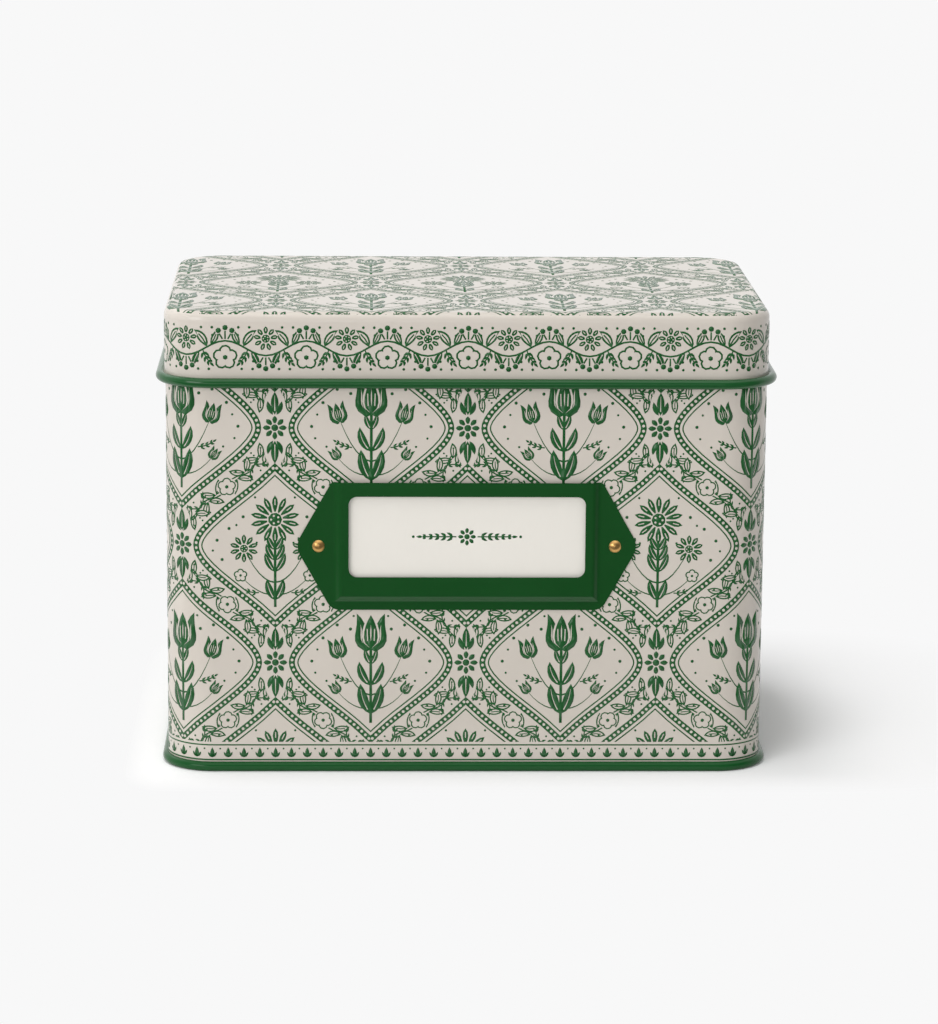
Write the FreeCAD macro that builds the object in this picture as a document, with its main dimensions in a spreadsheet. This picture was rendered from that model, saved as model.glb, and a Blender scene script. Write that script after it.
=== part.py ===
import FreeCAD, Part
import math
import os
import Sketcher

# A tinplate recipe box: a printed wall on a seamed base, a beaded lid that turns on a wire at the
# back, a stamped label holder with its card, and tabbed dividers with recipe cards inside.
# The origin is the middle of the base on the table, +X to the right seen from the front,
# +Y to the back, +Z up. All sizes are in millimetres and angles in degrees.

SIZES = (
    # The body wall
    ("body_width", 171.0),
    ("body_depth", 112.0),
    ("corner_radius", 13.5),
    ("sheet_gauge", 0.35),
    ("shoulder_height", 111.7),
    ("neck_inset", 1.2),
    ("neck_rise", 12.0),
    ("hem_radius", 0.7),
    ("hem_bulge", 0.07),
    ("wall_foot", 0.7),
    ("foot_flange", 0.85),
    ("seam_width", 5.0),
    # The base
    ("base_bead_radius", 1.4),
    ("base_bead_offset", 0.22),
    ("foot_flat_depth", 0.1),
    ("base_panel_height", 3.2),
    ("seam_clearance", 0.02),
    # The lid
    ("lid_step", 0.3),
    ("lid_bead_radius", 1.4),
    ("lid_rest_gap", 0.33),
    ("lid_rise", 19.9),
    ("lid_edge_radius", 2.6),
    ("skirt_foot_rise", 0.28),
    # The hinge
    ("wire_clearance", 0.05),
    ("wire_overhang", 8.0),
    ("wire_end_room", 10.0),
    ("strap_gauge", 0.3),
    ("strap_width", 18.0),
    ("strap_drop", 16.0),
    ("strap_corner", 3.0),
    ("notch_gap", 0.35),
    # The rivets of the hinge and of the label holder
    ("hinge_rivet_head", 1.5),
    ("hinge_rivet_shank", 0.8),
    ("hinge_rivet_pitch", 10.0),
    ("hinge_rivet_drop", 10.5),
    ("label_rivet_head", 1.75),
    ("label_rivet_shank", 0.7),
    ("label_rivet_inset", 6.7),
    ("rivet_dome", 0.8),
    ("rivet_crown_flat", 0.2),
    ("clench_radius", 1.3),
    ("clench_thickness", 0.3),
    ("rivet_hole_clearance", 0.05),
    # The label holder
    ("holder_half_width", 38.3),
    ("holder_tab_reach", 10.4),
    ("holder_tip_radius", 5.5),
    ("holder_top_corner", 1.5),
    ("holder_foot_corner", 3.8),
    ("holder_low", 47.4),
    ("holder_high", 84.4),
    ("holder_flange", 2.0),
    ("holder_side_flange", 0.4),
    ("holder_depth", 1.5),
    ("holder_slope", 2.0),
    ("holder_bend", 1.5),
    ("holder_straight", 0.1),
    ("window_side_margin", 4.4),
    ("window_foot_margin", 9.7),
    ("window_top_margin", 4.0),
    ("window_corner", 2.4),
    # The label card
    ("card_gauge", 0.3),
    ("card_play", 0.08),
    ("card_side_room", 1.31),
    ("card_foot_room", 0.16),
    ("card_top_drop", 1.1),
    # The dividers and the recipe cards
    ("recipe_side_room", 8.95),
    ("recipe_headroom", 19.7),
    ("recipe_back_room", 0.8),
    ("recipe_corner_room", 0.1),
    ("recipe_floor_gap", 0.05),
    ("section_pitch", 9.0),
    ("section_play", 1.4),
    ("divider_thickness", 0.6),
    ("divider_corner", 3.0),
    ("tab_rise", 8.0),
    ("tab_width", 44.0),
    ("tab_side_margin", 4.2),
    ("tab_slant", 3.0),
)

SECTIONS = 6
TAB_PLACES = 3

# Two lengths or heights that differ by less than this are the same
SAME = 1e-6

doc = FreeCAD.newDocument("recipe_box")
sheet = doc.addObject("Spreadsheet::Sheet", "Sizes")
for row, (size_name, number) in enumerate(SIZES, start=1):
    sheet.set(f"A{row}", size_name)
    sheet.set(f"B{row}", str(number))
    sheet.setAlias(f"B{row}", size_name)
doc.recompute()


def cell(name):
    """A size of the sheet, as it is written in a formula."""
    return f"Sizes.{name}"


def value(formula):
    """The number that a formula gives."""
    return float(sheet.evalExpression(f"0 + ({formula})"))


# Formulas that more than one piece uses

HALF_WIDTH = f"({cell('body_width')} / 2)"
HALF_DEPTH = f"({cell('body_depth')} / 2)"
GAUGE = cell("sheet_gauge")
SHOULDER = cell("shoulder_height")
NECK_STEP = cell("neck_inset")
NECK_TOP = f"({SHOULDER} + {NECK_STEP} + {cell('neck_rise')})"
FLOOR = f"({cell('base_panel_height')} + {GAUGE})"
BASE_BEAD = cell("base_bead_radius")
BASE_BEAD_HEIGHT = f"({BASE_BEAD} - {cell('foot_flat_depth')})"

# The bead of the lid clears the 45 degree shoulder by the rest gap. Its middle is the hinge axis.
LID_BEAD = cell("lid_bead_radius")
AXIS_OUT = f"({cell('lid_step')} - {GAUGE} + {LID_BEAD})"
AXIS_DEPTH = f"({HALF_DEPTH} + {AXIS_OUT})"
AXIS_HEIGHT = f"({SHOULDER} + sqrt(2) * ({LID_BEAD} + {cell('lid_rest_gap')}) - {AXIS_OUT})"
LID_TOP = f"({AXIS_HEIGHT} + {cell('lid_rise')})"

# The leaf of a strap lies on the wall and is tangent to its eye. The wire fits eye and bead.
EYE_BORE = f"({AXIS_OUT} - {cell('strap_gauge')})"
BEAD_BORE = f"({LID_BEAD} - {GAUGE})"
WIRE_RADIUS = f"(min({EYE_BORE}; {BEAD_BORE}) - {cell('wire_clearance')})"
WIRE_HALF = f"({HALF_WIDTH} - {cell('corner_radius')} - {cell('wire_end_room')})"
STRAP_PLACE = f"({WIRE_HALF} - {cell('wire_overhang')} - {cell('strap_width')} / 2)"
HINGE_RIVET_HEIGHT = f"({AXIS_HEIGHT} - {cell('hinge_rivet_drop')})"

# The raised middle of the label holder slopes on its sides and foot. Its skin is the gauge
# measured along the wall, and its stretch is the length of a slope for each unit of depth.
HOLDER_MIDDLE = f"(({cell('holder_low')} + {cell('holder_high')}) / 2)"
HOLDER_TIP = f"({cell('holder_half_width')} + {cell('holder_tab_reach')})"
LABEL_RIVET_PLACE = f"({HOLDER_TIP} - {cell('label_rivet_inset')})"
RAISED_HALF = f"({cell('holder_half_width')} - {cell('holder_side_flange')})"
RAISED_FOOT = f"({cell('holder_low')} + {cell('holder_flange')})"
HOLDER_PITCH = f"({cell('holder_slope')} / {cell('holder_depth')})"
HOLDER_STRETCH = f"sqrt(1 + {HOLDER_PITCH} ^ 2)"
HOLDER_SKIN = f"({GAUGE} * {HOLDER_STRETCH})"

# Each slope runs into the plate and into the raised face by a bend, and keeps a straight stretch
# between the two. A bend starts at its reach from the corner that it rounds.
BEND_TURN = f"({HOLDER_STRETCH} - {HOLDER_PITCH})"
SLOPE_LENGTH = f"(({cell('holder_depth')} - {GAUGE}) * {HOLDER_STRETCH})"
BEND_ROOM = f"(({SLOPE_LENGTH} - {cell('holder_straight')}) / 2)"
BEND_REACH = f"(min({cell('holder_bend')} * {BEND_TURN}; {BEND_ROOM}))"
BEND = f"({BEND_REACH} / {BEND_TURN})"

RECIPE_HALF = f"({HALF_WIDTH} - {GAUGE} - {cell('recipe_side_room')})"
RECIPE_LOW = f"({FLOOR} + {cell('recipe_floor_gap')})"
RECIPE_HIGH = f"({NECK_TOP} - {cell('recipe_headroom')})"

# The last stack stands clear of the back wall and of the wall's rounded corners.
CORNER_REACH = f"(max({RECIPE_HALF} - {HALF_WIDTH} + {cell('corner_radius')}; 0))"
CORNER_CLEAR = f"({cell('corner_radius')} - {GAUGE} - {cell('recipe_corner_room')})"
CORNER_BACK = f"({HALF_DEPTH} - {cell('corner_radius')} + sqrt({CORNER_CLEAR} ^ 2 - {CORNER_REACH} ^ 2))"
RECIPE_BACK = f"(min({HALF_DEPTH} - {GAUGE} - {cell('recipe_back_room')}; {CORNER_BACK}))"
SECTION_THICKNESS = f"({cell('section_pitch')} - {cell('section_play')})"
LAST_FRONT = f"({RECIPE_BACK} - {SECTION_THICKNESS})"


# Sketches

def new_body(label):
    """An empty body that carries the name of its sub-part."""
    body = doc.addObject("PartDesign::Body", label)
    body.Label = label
    body.AllowCompound = True
    return body


def new_sketch(body, name, role, offset="0"):
    """A sketch on an origin plane of its own body, moved along the plane's normal."""
    sketch = body.newObject("Sketcher::SketchObject", f"{body.Name}_{name}")
    origin_plane = next(item for item in body.Origin.OriginFeatures if item.Role == role)
    sketch.AttachmentSupport = [(origin_plane, "")]
    sketch.MapMode = "FlatFace"
    sketch.setExpression("AttachmentOffset.Base.z", f"0 + {offset}")
    return sketch


def dimension(sketch, kind, where, formula):
    """Add a driving dimension and bind it to a formula."""
    index = sketch.addConstraint(Sketcher.Constraint(kind, *where, value(formula)))
    name = f"size_{index}"
    sketch.renameConstraint(index, name)
    sketch.setExpression(f"Constraints.{name}", f"0 + {formula}")


def hold(sketch, kind, edge, end, formula):
    """Hold one coordinate of a point at a formula. A plain 0 puts the point on the axis."""
    if formula == "0":
        axis = -2 if kind == "DistanceX" else -1
        sketch.addConstraint(Sketcher.Constraint("PointOnObject", edge, end, axis))
    elif value(formula) > 0:
        dimension(sketch, kind, (-1, 1, edge, end), formula)
    else:
        dimension(sketch, kind, (edge, end, -1, 1), f"-({formula})")


def hold_point(sketch, edge, end, u, v):
    hold(sketch, "DistanceX", edge, end, u)
    hold(sketch, "DistanceY", edge, end, v)


def point(u, v):
    return FreeCAD.Vector(value(u), value(v), 0)


def join(sketch, chain, kinds):
    """Join the end of each edge of a closed chain to the start of the next."""
    for index, kind in enumerate(kinds):
        following = chain[(index + 1) % len(chain)]
        sketch.addConstraint(Sketcher.Constraint(kind, chain[index], 2, following, 1))


def outline(sketch, corners):
    """A closed outline of straight edges through corners given as pairs of formulas."""
    chain = []
    for start, end in zip(corners, corners[1:] + corners[:1]):
        chain.append(sketch.addGeometry(Part.LineSegment(point(*start), point(*end)), False))
    join(sketch, chain, ["Coincident"] * len(chain))
    for edge, corner in zip(chain, corners):
        hold_point(sketch, edge, 1, *corner)


def rectangle(sketch, left, right, low, high):
    outline(sketch, [(left, low), (right, low), (right, high), (left, high)])


def circle(sketch, u, v, radius):
    ring = Part.Circle(point(u, v), FreeCAD.Vector(0, 0, 1), value(radius))
    index = sketch.addGeometry(ring, False)
    dimension(sketch, "Radius", (index,), radius)
    hold_point(sketch, index, 3, u, v)


def rounded_rectangle(sketch, left, right, low, high, radius, split_low=False):
    """Four sides joined by tangent corner arcs. The low side can start at its middle."""
    x0, x1, y0, y1, r = (value(item) for item in (left, right, low, high, radius))
    start = ((x0 + x1) / 2, y0) if split_low else (x0 + r, y0)
    corners = (
        ((x1 - r, y0), (x1 - r, y0 + r), (x1, y0 + r), 270),
        ((x1, y1 - r), (x1 - r, y1 - r), (x1 - r, y1), 0),
        ((x0 + r, y1), (x0 + r, y1 - r), (x0, y1 - r), 90),
        ((x0, y0 + r), (x0 + r, y0 + r), (x0 + r, y0), 180),
    )
    chain = []
    here = start
    for enter, centre, leave, angle in corners:
        side = Part.LineSegment(FreeCAD.Vector(*here, 0), FreeCAD.Vector(*enter, 0))
        chain.append(sketch.addGeometry(side, False))
        ring = Part.Circle(FreeCAD.Vector(*centre, 0), FreeCAD.Vector(0, 0, 1), r)
        arc = Part.ArcOfCircle(ring, math.radians(angle), math.radians(angle + 90))
        chain.append(sketch.addGeometry(arc, False))
        here = leave
    kinds = ["Tangent"] * 8
    if split_low:
        side = Part.LineSegment(FreeCAD.Vector(*here, 0), FreeCAD.Vector(*start, 0))
        chain.append(sketch.addGeometry(side, False))
        kinds.append("Coincident")
        sketch.addConstraint(Sketcher.Constraint("Horizontal", chain[8]))
    join(sketch, chain, kinds)
    low_side, first_arc, right_side, second_arc, high_side, third_arc, left_side, last_arc = chain[:8]
    sketch.addConstraint(Sketcher.Constraint("Horizontal", low_side))
    sketch.addConstraint(Sketcher.Constraint("Horizontal", high_side))
    sketch.addConstraint(Sketcher.Constraint("Vertical", right_side))
    sketch.addConstraint(Sketcher.Constraint("Vertical", left_side))
    for arc in (second_arc, third_arc, last_arc):
        sketch.addConstraint(Sketcher.Constraint("Equal", first_arc, arc))
    dimension(sketch, "Radius", (first_arc,), radius)
    hold(sketch, "DistanceX", right_side, 2, right)
    hold(sketch, "DistanceX", left_side, 2, left)
    hold(sketch, "DistanceY", low_side, 2, low)
    hold(sketch, "DistanceY", high_side, 2, high)
    if split_low:
        sketch.addConstraint(Sketcher.Constraint("PointOnObject", low_side, 1, -2))


def box_outline(sketch, step, split_low=False):
    """The plan of the box, moved outwards from the face of the body wall by a step."""
    across = f"({HALF_WIDTH} + {step})"
    along = f"({HALF_DEPTH} + {step})"
    radius = f"({cell('corner_radius')} + {step})"
    rounded_rectangle(sketch, f"-{across}", across, f"-{along}", along, radius, split_low)


# Features

def finish(body, feature):
    body.Tip = feature
    doc.recompute()
    return feature


def extrude(body, kind, sketch, length, name, reverse, symmetric):
    feature = body.newObject(f"PartDesign::{kind}", f"{body.Name}_{name}")
    feature.Profile = sketch
    feature.setExpression("Length", f"0 + {length}")
    feature.Reversed = reverse
    if symmetric:
        feature.SideType = "Symmetric"
    return finish(body, feature)


def pad(body, sketch, length, name, reverse=False, symmetric=False):
    return extrude(body, "Pad", sketch, length, name, reverse, symmetric)


def check_cut(body, before, feature):
    """Compare the volume, because a cut that misses the solid takes nothing from it."""
    if body.Shape.Volume > before - SAME:
        raise RuntimeError(f"{feature.Name} cuts nothing")


def pocket(body, sketch, length, name, reverse=False):
    before = body.Shape.Volume
    feature = extrude(body, "Pocket", sketch, length, name, reverse, False)
    check_cut(body, before, feature)
    return feature


def pierce(body, sketch, gauge, name, reverse=False):
    """A cut through a sheet, from a sketch one gauge clear of it to one gauge past it."""
    return pocket(body, sketch, f"3 * {gauge}", name, reverse)


def sweep(body, section, path, name, kind="AdditivePipe"):
    feature = body.newObject(f"PartDesign::{kind}", f"{body.Name}_{name}")
    feature.Profile = section
    feature.Spine = (path, [])
    return finish(body, feature)


def bore_along(body, section, path, name):
    before = body.Shape.Volume
    feature = sweep(body, section, path, name, "SubtractivePipe")
    check_cut(body, before, feature)
    return feature


def fillet(body, radius, name, chosen):
    """Round the edges of the body for whose middle point the test holds."""
    names = []
    for index, edge in enumerate(body.Shape.Edges, start=1):
        middle = edge.valueAt((edge.FirstParameter + edge.LastParameter) / 2)
        if chosen(edge, middle):
            names.append(f"Edge{index}")
    base = body.Tip
    feature = body.newObject("PartDesign::Fillet", f"{body.Name}_{name}")
    feature.Base = (base, names)
    feature.setExpression("Radius", f"0 + {radius}")
    return finish(body, feature)


def crosses_sheet(edge, gauge):
    """Whether an edge runs straight through a sheet, as at the corner of its outline."""
    return abs(edge.Length - gauge) < SAME


# The body wall

def make_body_wall():
    """A tube of sheet with a foot flange, a shoulder, a neck, a rolled hem and a lap seam."""
    body = new_body("body_wall")
    path = new_sketch(body, "path", "XY_Plane")
    box_outline(path, "0", split_low=True)

    section = new_sketch(body, "section", "YZ_Plane")
    foot = cell("wall_foot")
    mitre = f"{GAUGE} * tan(22.5 deg)"
    outer = f"-{HALF_DEPTH}"
    inner = f"-({HALF_DEPTH} - {GAUGE})"
    neck_outer = f"-({HALF_DEPTH} - {NECK_STEP})"
    neck_inner = f"-({HALF_DEPTH} - {NECK_STEP} - {GAUGE})"
    flange = f"-({HALF_DEPTH} + {cell('foot_flange')})"
    corners = [
        (inner, foot),
        (flange, foot),
        (flange, f"{foot} + {GAUGE}"),
        (outer, f"{foot} + {GAUGE}"),
        (outer, SHOULDER),
        (neck_outer, f"{SHOULDER} + {NECK_STEP}"),
        (neck_outer, NECK_TOP),
        (neck_inner, NECK_TOP),
        (neck_inner, f"{SHOULDER} + {NECK_STEP} + {mitre}"),
        (inner, f"{SHOULDER} + {mitre}"),
    ]
    outline(section, corners)
    sweep(body, section, path, "sheet")

    hem = new_sketch(body, "hem_section", "YZ_Plane")
    hem_radius = cell("hem_radius")
    hem_middle = f"-({HALF_DEPTH} - {NECK_STEP} + {cell('hem_bulge')} - {hem_radius})"
    circle(hem, hem_middle, NECK_TOP, hem_radius)
    sweep(body, hem, path, "hem")

    seam = new_sketch(body, "seam_plan", "XY_Plane", FLOOR)
    half_seam = f"{cell('seam_width')} / 2"
    seam_inner = f"{HALF_DEPTH} - 2 * {GAUGE}"
    seam_outer = f"{HALF_DEPTH} - {GAUGE} / 2"
    rectangle(seam, f"-{half_seam}", half_seam, seam_inner, seam_outer)
    pad(body, seam, f"{SHOULDER} - {FLOOR}", "seam")

    front = new_sketch(body, "front_holes", "XZ_Plane", f"{HALF_DEPTH} - 2 * {GAUGE}")
    label_rivet_holes(front)
    pierce(body, front, GAUGE, "front_rivet_holes", reverse=True)

    back = new_sketch(body, "back_holes", "XZ_Plane", f"-({HALF_DEPTH} + {GAUGE})")
    for middle in (f"-{STRAP_PLACE}", STRAP_PLACE):
        hinge_rivet_holes(back, middle)
    pierce(body, back, GAUGE, "back_rivet_holes", reverse=True)
    return body


def label_rivet_holes(sketch):
    radius = f"{cell('label_rivet_shank')} + {cell('rivet_hole_clearance')}"
    for side in ("-", ""):
        circle(sketch, f"{side}{LABEL_RIVET_PLACE}", HOLDER_MIDDLE, radius)


def hinge_rivet_holes(sketch, middle):
    radius = f"{cell('hinge_rivet_shank')} + {cell('rivet_hole_clearance')}"
    for side in ("-", "+"):
        place = f"{middle} {side} {cell('hinge_rivet_pitch')} / 2"
        circle(sketch, place, HINGE_RIVET_HEIGHT, radius)


# The base

def make_base_panel():
    """A raised panel, an upright round it, and a rolled rim that hooks round the wall's foot."""
    body = new_body("base_panel")
    path = new_sketch(body, "path", "XY_Plane")
    box_outline(path, "0", split_low=True)

    rim = new_sketch(body, "rim_section", "YZ_Plane")
    rim_middle = f"-({HALF_DEPTH} + {cell('base_bead_offset')})"
    circle(rim, rim_middle, BASE_BEAD_HEIGHT, BASE_BEAD)
    sweep(body, rim, path, "rim")
    bore = new_sketch(body, "bore_section", "YZ_Plane")
    rim_bore = f"({BASE_BEAD} - {GAUGE})"
    circle(bore, rim_middle, BASE_BEAD_HEIGHT, rim_bore)
    bore_along(body, bore, path, "rim_bore")

    upright_step = f"({cell('base_bead_offset')} - {rim_bore})"
    slot = new_sketch(body, "slot_plan", "XY_Plane", BASE_BEAD_HEIGHT)
    box_outline(slot, cell("seam_clearance"))
    box_outline(slot, upright_step)
    pocket(body, slot, f"2 * {BASE_BEAD}", "wall_slot", reverse=True)

    upright_low = f"({BASE_BEAD_HEIGHT} - {GAUGE} / 2)"
    upright = new_sketch(body, "upright_plan", "XY_Plane", upright_low)
    box_outline(upright, upright_step)
    box_outline(upright, f"({upright_step} - {GAUGE})")
    pad(body, upright, f"{FLOOR} - {upright_low}", "upright")

    panel = new_sketch(body, "panel_plan", "XY_Plane", cell("base_panel_height"))
    box_outline(panel, f"({upright_step} - {GAUGE} / 2)")
    pad(body, panel, GAUGE, "panel")

    flat = new_sketch(body, "flat_plan", "XY_Plane")
    box_outline(flat, f"({cell('base_bead_offset')} + {BASE_BEAD})")
    pocket(body, flat, f"2 * {cell('foot_flat_depth')}", "foot_flat")
    return body


# The lid

def make_lid():
    """A drawn sheet with a rounded top edge and a rolled bead, cut away at the hinge straps."""
    body = new_body("lid")
    skirt_low = f"({AXIS_HEIGHT} + {cell('skirt_foot_rise')})"
    plan = new_sketch(body, "plan", "XY_Plane", skirt_low)
    box_outline(plan, cell("lid_step"))
    pad(body, plan, f"{LID_TOP} - {skirt_low}", "block")
    top = value(LID_TOP)
    fillet(body, cell("lid_edge_radius"), "top_edge", lambda edge, middle: middle.z > top - SAME)

    low = value(skirt_low)
    faces = []
    for index, face in enumerate(body.Shape.Faces, start=1):
        if face.CenterOfMass.z < low + SAME:
            faces.append(f"Face{index}")
    base = body.Tip
    shell = body.newObject("PartDesign::Thickness", "lid_shell")
    shell.Base = (base, faces)
    shell.setExpression("Value", f"0 + {GAUGE}")
    shell.Reversed = True
    shell.Join = "Intersection"
    finish(body, shell)

    path = new_sketch(body, "path", "XY_Plane")
    box_outline(path, "0", split_low=True)
    bead = new_sketch(body, "bead_section", "YZ_Plane")
    circle(bead, f"-{AXIS_DEPTH}", AXIS_HEIGHT, LID_BEAD)
    sweep(body, bead, path, "bead")
    bore = new_sketch(body, "bore_section", "YZ_Plane")
    circle(bore, f"-{AXIS_DEPTH}", AXIS_HEIGHT, BEAD_BORE)
    bore_along(body, bore, path, "bead_bore")

    notch = new_sketch(body, "notch_plan", "XY_Plane", f"{AXIS_HEIGHT} - 2 * {LID_BEAD}")
    reach = f"({cell('strap_width')} / 2 + {cell('notch_gap')})"
    near = f"{HALF_DEPTH} - 2 * {GAUGE}"
    far = f"{AXIS_DEPTH} + 2 * {LID_BEAD}"
    for middle in (f"-{STRAP_PLACE}", STRAP_PLACE):
        rectangle(notch, f"{middle} - {reach}", f"{middle} + {reach}", near, far)
    pocket(body, notch, f"3 * {LID_BEAD} + {cell('notch_gap')}", "hinge_notches", reverse=True)
    return body


# The hinge

def make_hinge_wire():
    """One wire through the rolled bead of the lid and the eyes of both straps."""
    body = new_body("hinge_wire")
    section = new_sketch(body, "section", "YZ_Plane")
    circle(section, AXIS_DEPTH, AXIS_HEIGHT, WIRE_RADIUS)
    pad(body, section, f"2 * {WIRE_HALF}", "wire", symmetric=True)
    return body


def make_hinge_strap(label, side):
    """A leaf on the outside of the back wall, rolled to an eye round the wire."""
    body = new_body(label)
    leaf = new_sketch(body, "leaf_section", "YZ_Plane")
    outer = f"({AXIS_DEPTH} - {EYE_BORE})"
    low = f"({AXIS_HEIGHT} - {cell('strap_drop')})"
    rectangle(leaf, HALF_DEPTH, outer, low, AXIS_HEIGHT)
    pad(body, leaf, cell("strap_width"), "leaf", symmetric=True)
    foot = value(low)
    gauge = value(cell("strap_gauge"))

    def is_foot_corner(edge, middle):
        return middle.z < foot + SAME and crosses_sheet(edge, gauge)

    fillet(body, cell("strap_corner"), "foot_corners", is_foot_corner)

    eye = new_sketch(body, "eye_section", "YZ_Plane")
    circle(eye, AXIS_DEPTH, AXIS_HEIGHT, AXIS_OUT)
    circle(eye, AXIS_DEPTH, AXIS_HEIGHT, EYE_BORE)
    pad(body, eye, cell("strap_width"), "eye", symmetric=True)

    holes = new_sketch(body, "holes", "XZ_Plane", f"-({HALF_DEPTH} + 2 * {cell('strap_gauge')})")
    hinge_rivet_holes(holes, "0")
    pierce(body, holes, cell("strap_gauge"), "rivet_holes", reverse=True)
    body.setExpression("Placement.Base.x", f"{side}{STRAP_PLACE}")
    return body


# The rivets

def rivet(body, head, shank, seat):
    """A rivet along +Y: a clenched end on the inside of the wall, a shank and a domed head."""
    half = new_sketch(body, "half_section", "XY_Plane")
    wall = f"{HALF_DEPTH} - {GAUGE}"
    end = f"{wall} - {cell('clench_thickness')}"
    clench = cell("clench_radius")
    flat = cell("rivet_crown_flat")
    crown = f"{seat} + {cell('rivet_dome')}"
    shaft = [("0", end), (clench, end), (clench, wall), (shank, wall), (shank, seat), (head, seat)]
    top = [(flat, crown), ("0", crown), ("0", end)]
    chain = []
    for start, following in zip(shaft, shaft[1:]):
        side = Part.LineSegment(point(*start), point(*following))
        chain.append(half.addGeometry(side, False))
    dome = half.addGeometry(dome_arc(head, flat, seat, crown), False)
    chain.append(dome)
    for start, following in zip(top, top[1:]):
        side = Part.LineSegment(point(*start), point(*following))
        chain.append(half.addGeometry(side, False))
    join(half, chain, ["Coincident"] * len(chain))
    for edge, corner in zip(chain, shaft + top):
        hold_point(half, edge, 1, *corner)
    half.addConstraint(Sketcher.Constraint("PointOnObject", dome, 3, -2))
    feature = body.newObject("PartDesign::Revolution", f"{body.Name}_rivet")
    feature.Profile = half
    feature.ReferenceAxis = (half, ["V_Axis"])
    feature.Angle = 360.0
    finish(body, feature)
    return half, feature


def dome_arc(head, flat, seat, crown):
    """The arc from the rim of a rivet's head to its small flat crown, centred on the axis."""
    reach, inner, base, top = (value(item) for item in (head, flat, seat, crown))
    rise = top - base
    drop = (reach ** 2 - inner ** 2 - rise ** 2) / (2 * rise)
    centre = FreeCAD.Vector(0, base - drop, 0)
    ring = Part.Circle(centre, FreeCAD.Vector(0, 0, 1), math.hypot(reach, drop))
    return Part.ArcOfCircle(ring, math.atan2(drop, reach), math.atan2(top - centre.y, inner))


def repeat(body, original, sketch, first_length, second_length=None):
    """Two copies along the sketch's first axis, and two of that pair where a second is given."""
    feature = body.newObject("PartDesign::LinearPattern", f"{body.Name}_row")
    feature.Originals = [original]
    feature.Direction = (sketch, ["H_Axis"])
    feature.setExpression("Length", f"0 + {first_length}")
    feature.Occurrences = 2
    if second_length is not None:
        feature.Direction2 = (sketch, ["H_Axis"])
        feature.setExpression("Length2", f"0 + {second_length}")
        feature.Occurrences2 = 2
    return finish(body, feature)


def make_label_rivets():
    """Two rivets through the tabs of the label holder and the front wall."""
    body = new_body("label_rivets")
    seat = f"{HALF_DEPTH} + {GAUGE}"
    half, first = rivet(body, cell("label_rivet_head"), cell("label_rivet_shank"), seat)
    repeat(body, first, half, f"2 * {LABEL_RIVET_PLACE}")
    body.Placement.Rotation = FreeCAD.Rotation(FreeCAD.Vector(0, 0, 1), 180)
    body.setExpression("Placement.Base.x", LABEL_RIVET_PLACE)
    body.setExpression("Placement.Base.z", HOLDER_MIDDLE)
    return body


def make_hinge_rivets():
    """Two rivets through each hinge strap and the back wall."""
    body = new_body("hinge_rivets")
    seat = f"{HALF_DEPTH} + {cell('strap_gauge')}"
    half, first = rivet(body, cell("hinge_rivet_head"), cell("hinge_rivet_shank"), seat)
    repeat(body, first, half, cell("hinge_rivet_pitch"), f"2 * {STRAP_PLACE}")
    body.setExpression("Placement.Base.x", f"-({STRAP_PLACE} + {cell('hinge_rivet_pitch')} / 2)")
    body.setExpression("Placement.Base.z", HINGE_RIVET_HEIGHT)
    return body


# The label holder and its card

def loft_middle(body, kind, name, sections):
    """A tapering block between rectangles, given as depth in front of the wall and four sides."""
    sketches = []
    for index, (depth, sides) in enumerate(sections):
        sketch = new_sketch(body, f"{name}_{index}", "XZ_Plane", f"{HALF_DEPTH} + {depth}")
        rectangle(sketch, *sides)
        sketches.append(sketch)
    feature = body.newObject(f"PartDesign::{kind}", f"{body.Name}_{name}")
    feature.Profile = sketches[0]
    feature.Sections = sketches[1:]
    feature.Ruled = True
    return finish(body, feature)


def raised_sides(depth, inset, top):
    """The sides of the raised middle at a depth in front of the wall, moved in by an inset."""
    half = f"({RAISED_HALF} - {inset} - {HOLDER_PITCH} * {depth})"
    foot = f"({RAISED_FOOT} + {inset} + {HOLDER_PITCH} * {depth})"
    return f"-{half}", half, foot, top


def bend_arc(sketch, centre, radius, first, second):
    """The short arc about a centre from one point to another, and which end is the first."""
    middle = point(*centre)
    angles = []
    for spot in (first, second):
        place = point(*spot)
        angles.append(math.atan2(place.y - middle.y, place.x - middle.x))
    forward = math.sin(angles[1] - angles[0]) > 0
    start, end = angles if forward else reversed(angles)
    ring = Part.Circle(middle, FreeCAD.Vector(0, 0, 1), value(radius))
    index = sketch.addGeometry(Part.ArcOfCircle(ring, start, end), False)
    dimension(sketch, "Radius", (index,), radius)
    return (index, 1, 2) if forward else (index, 2, 1)


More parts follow.
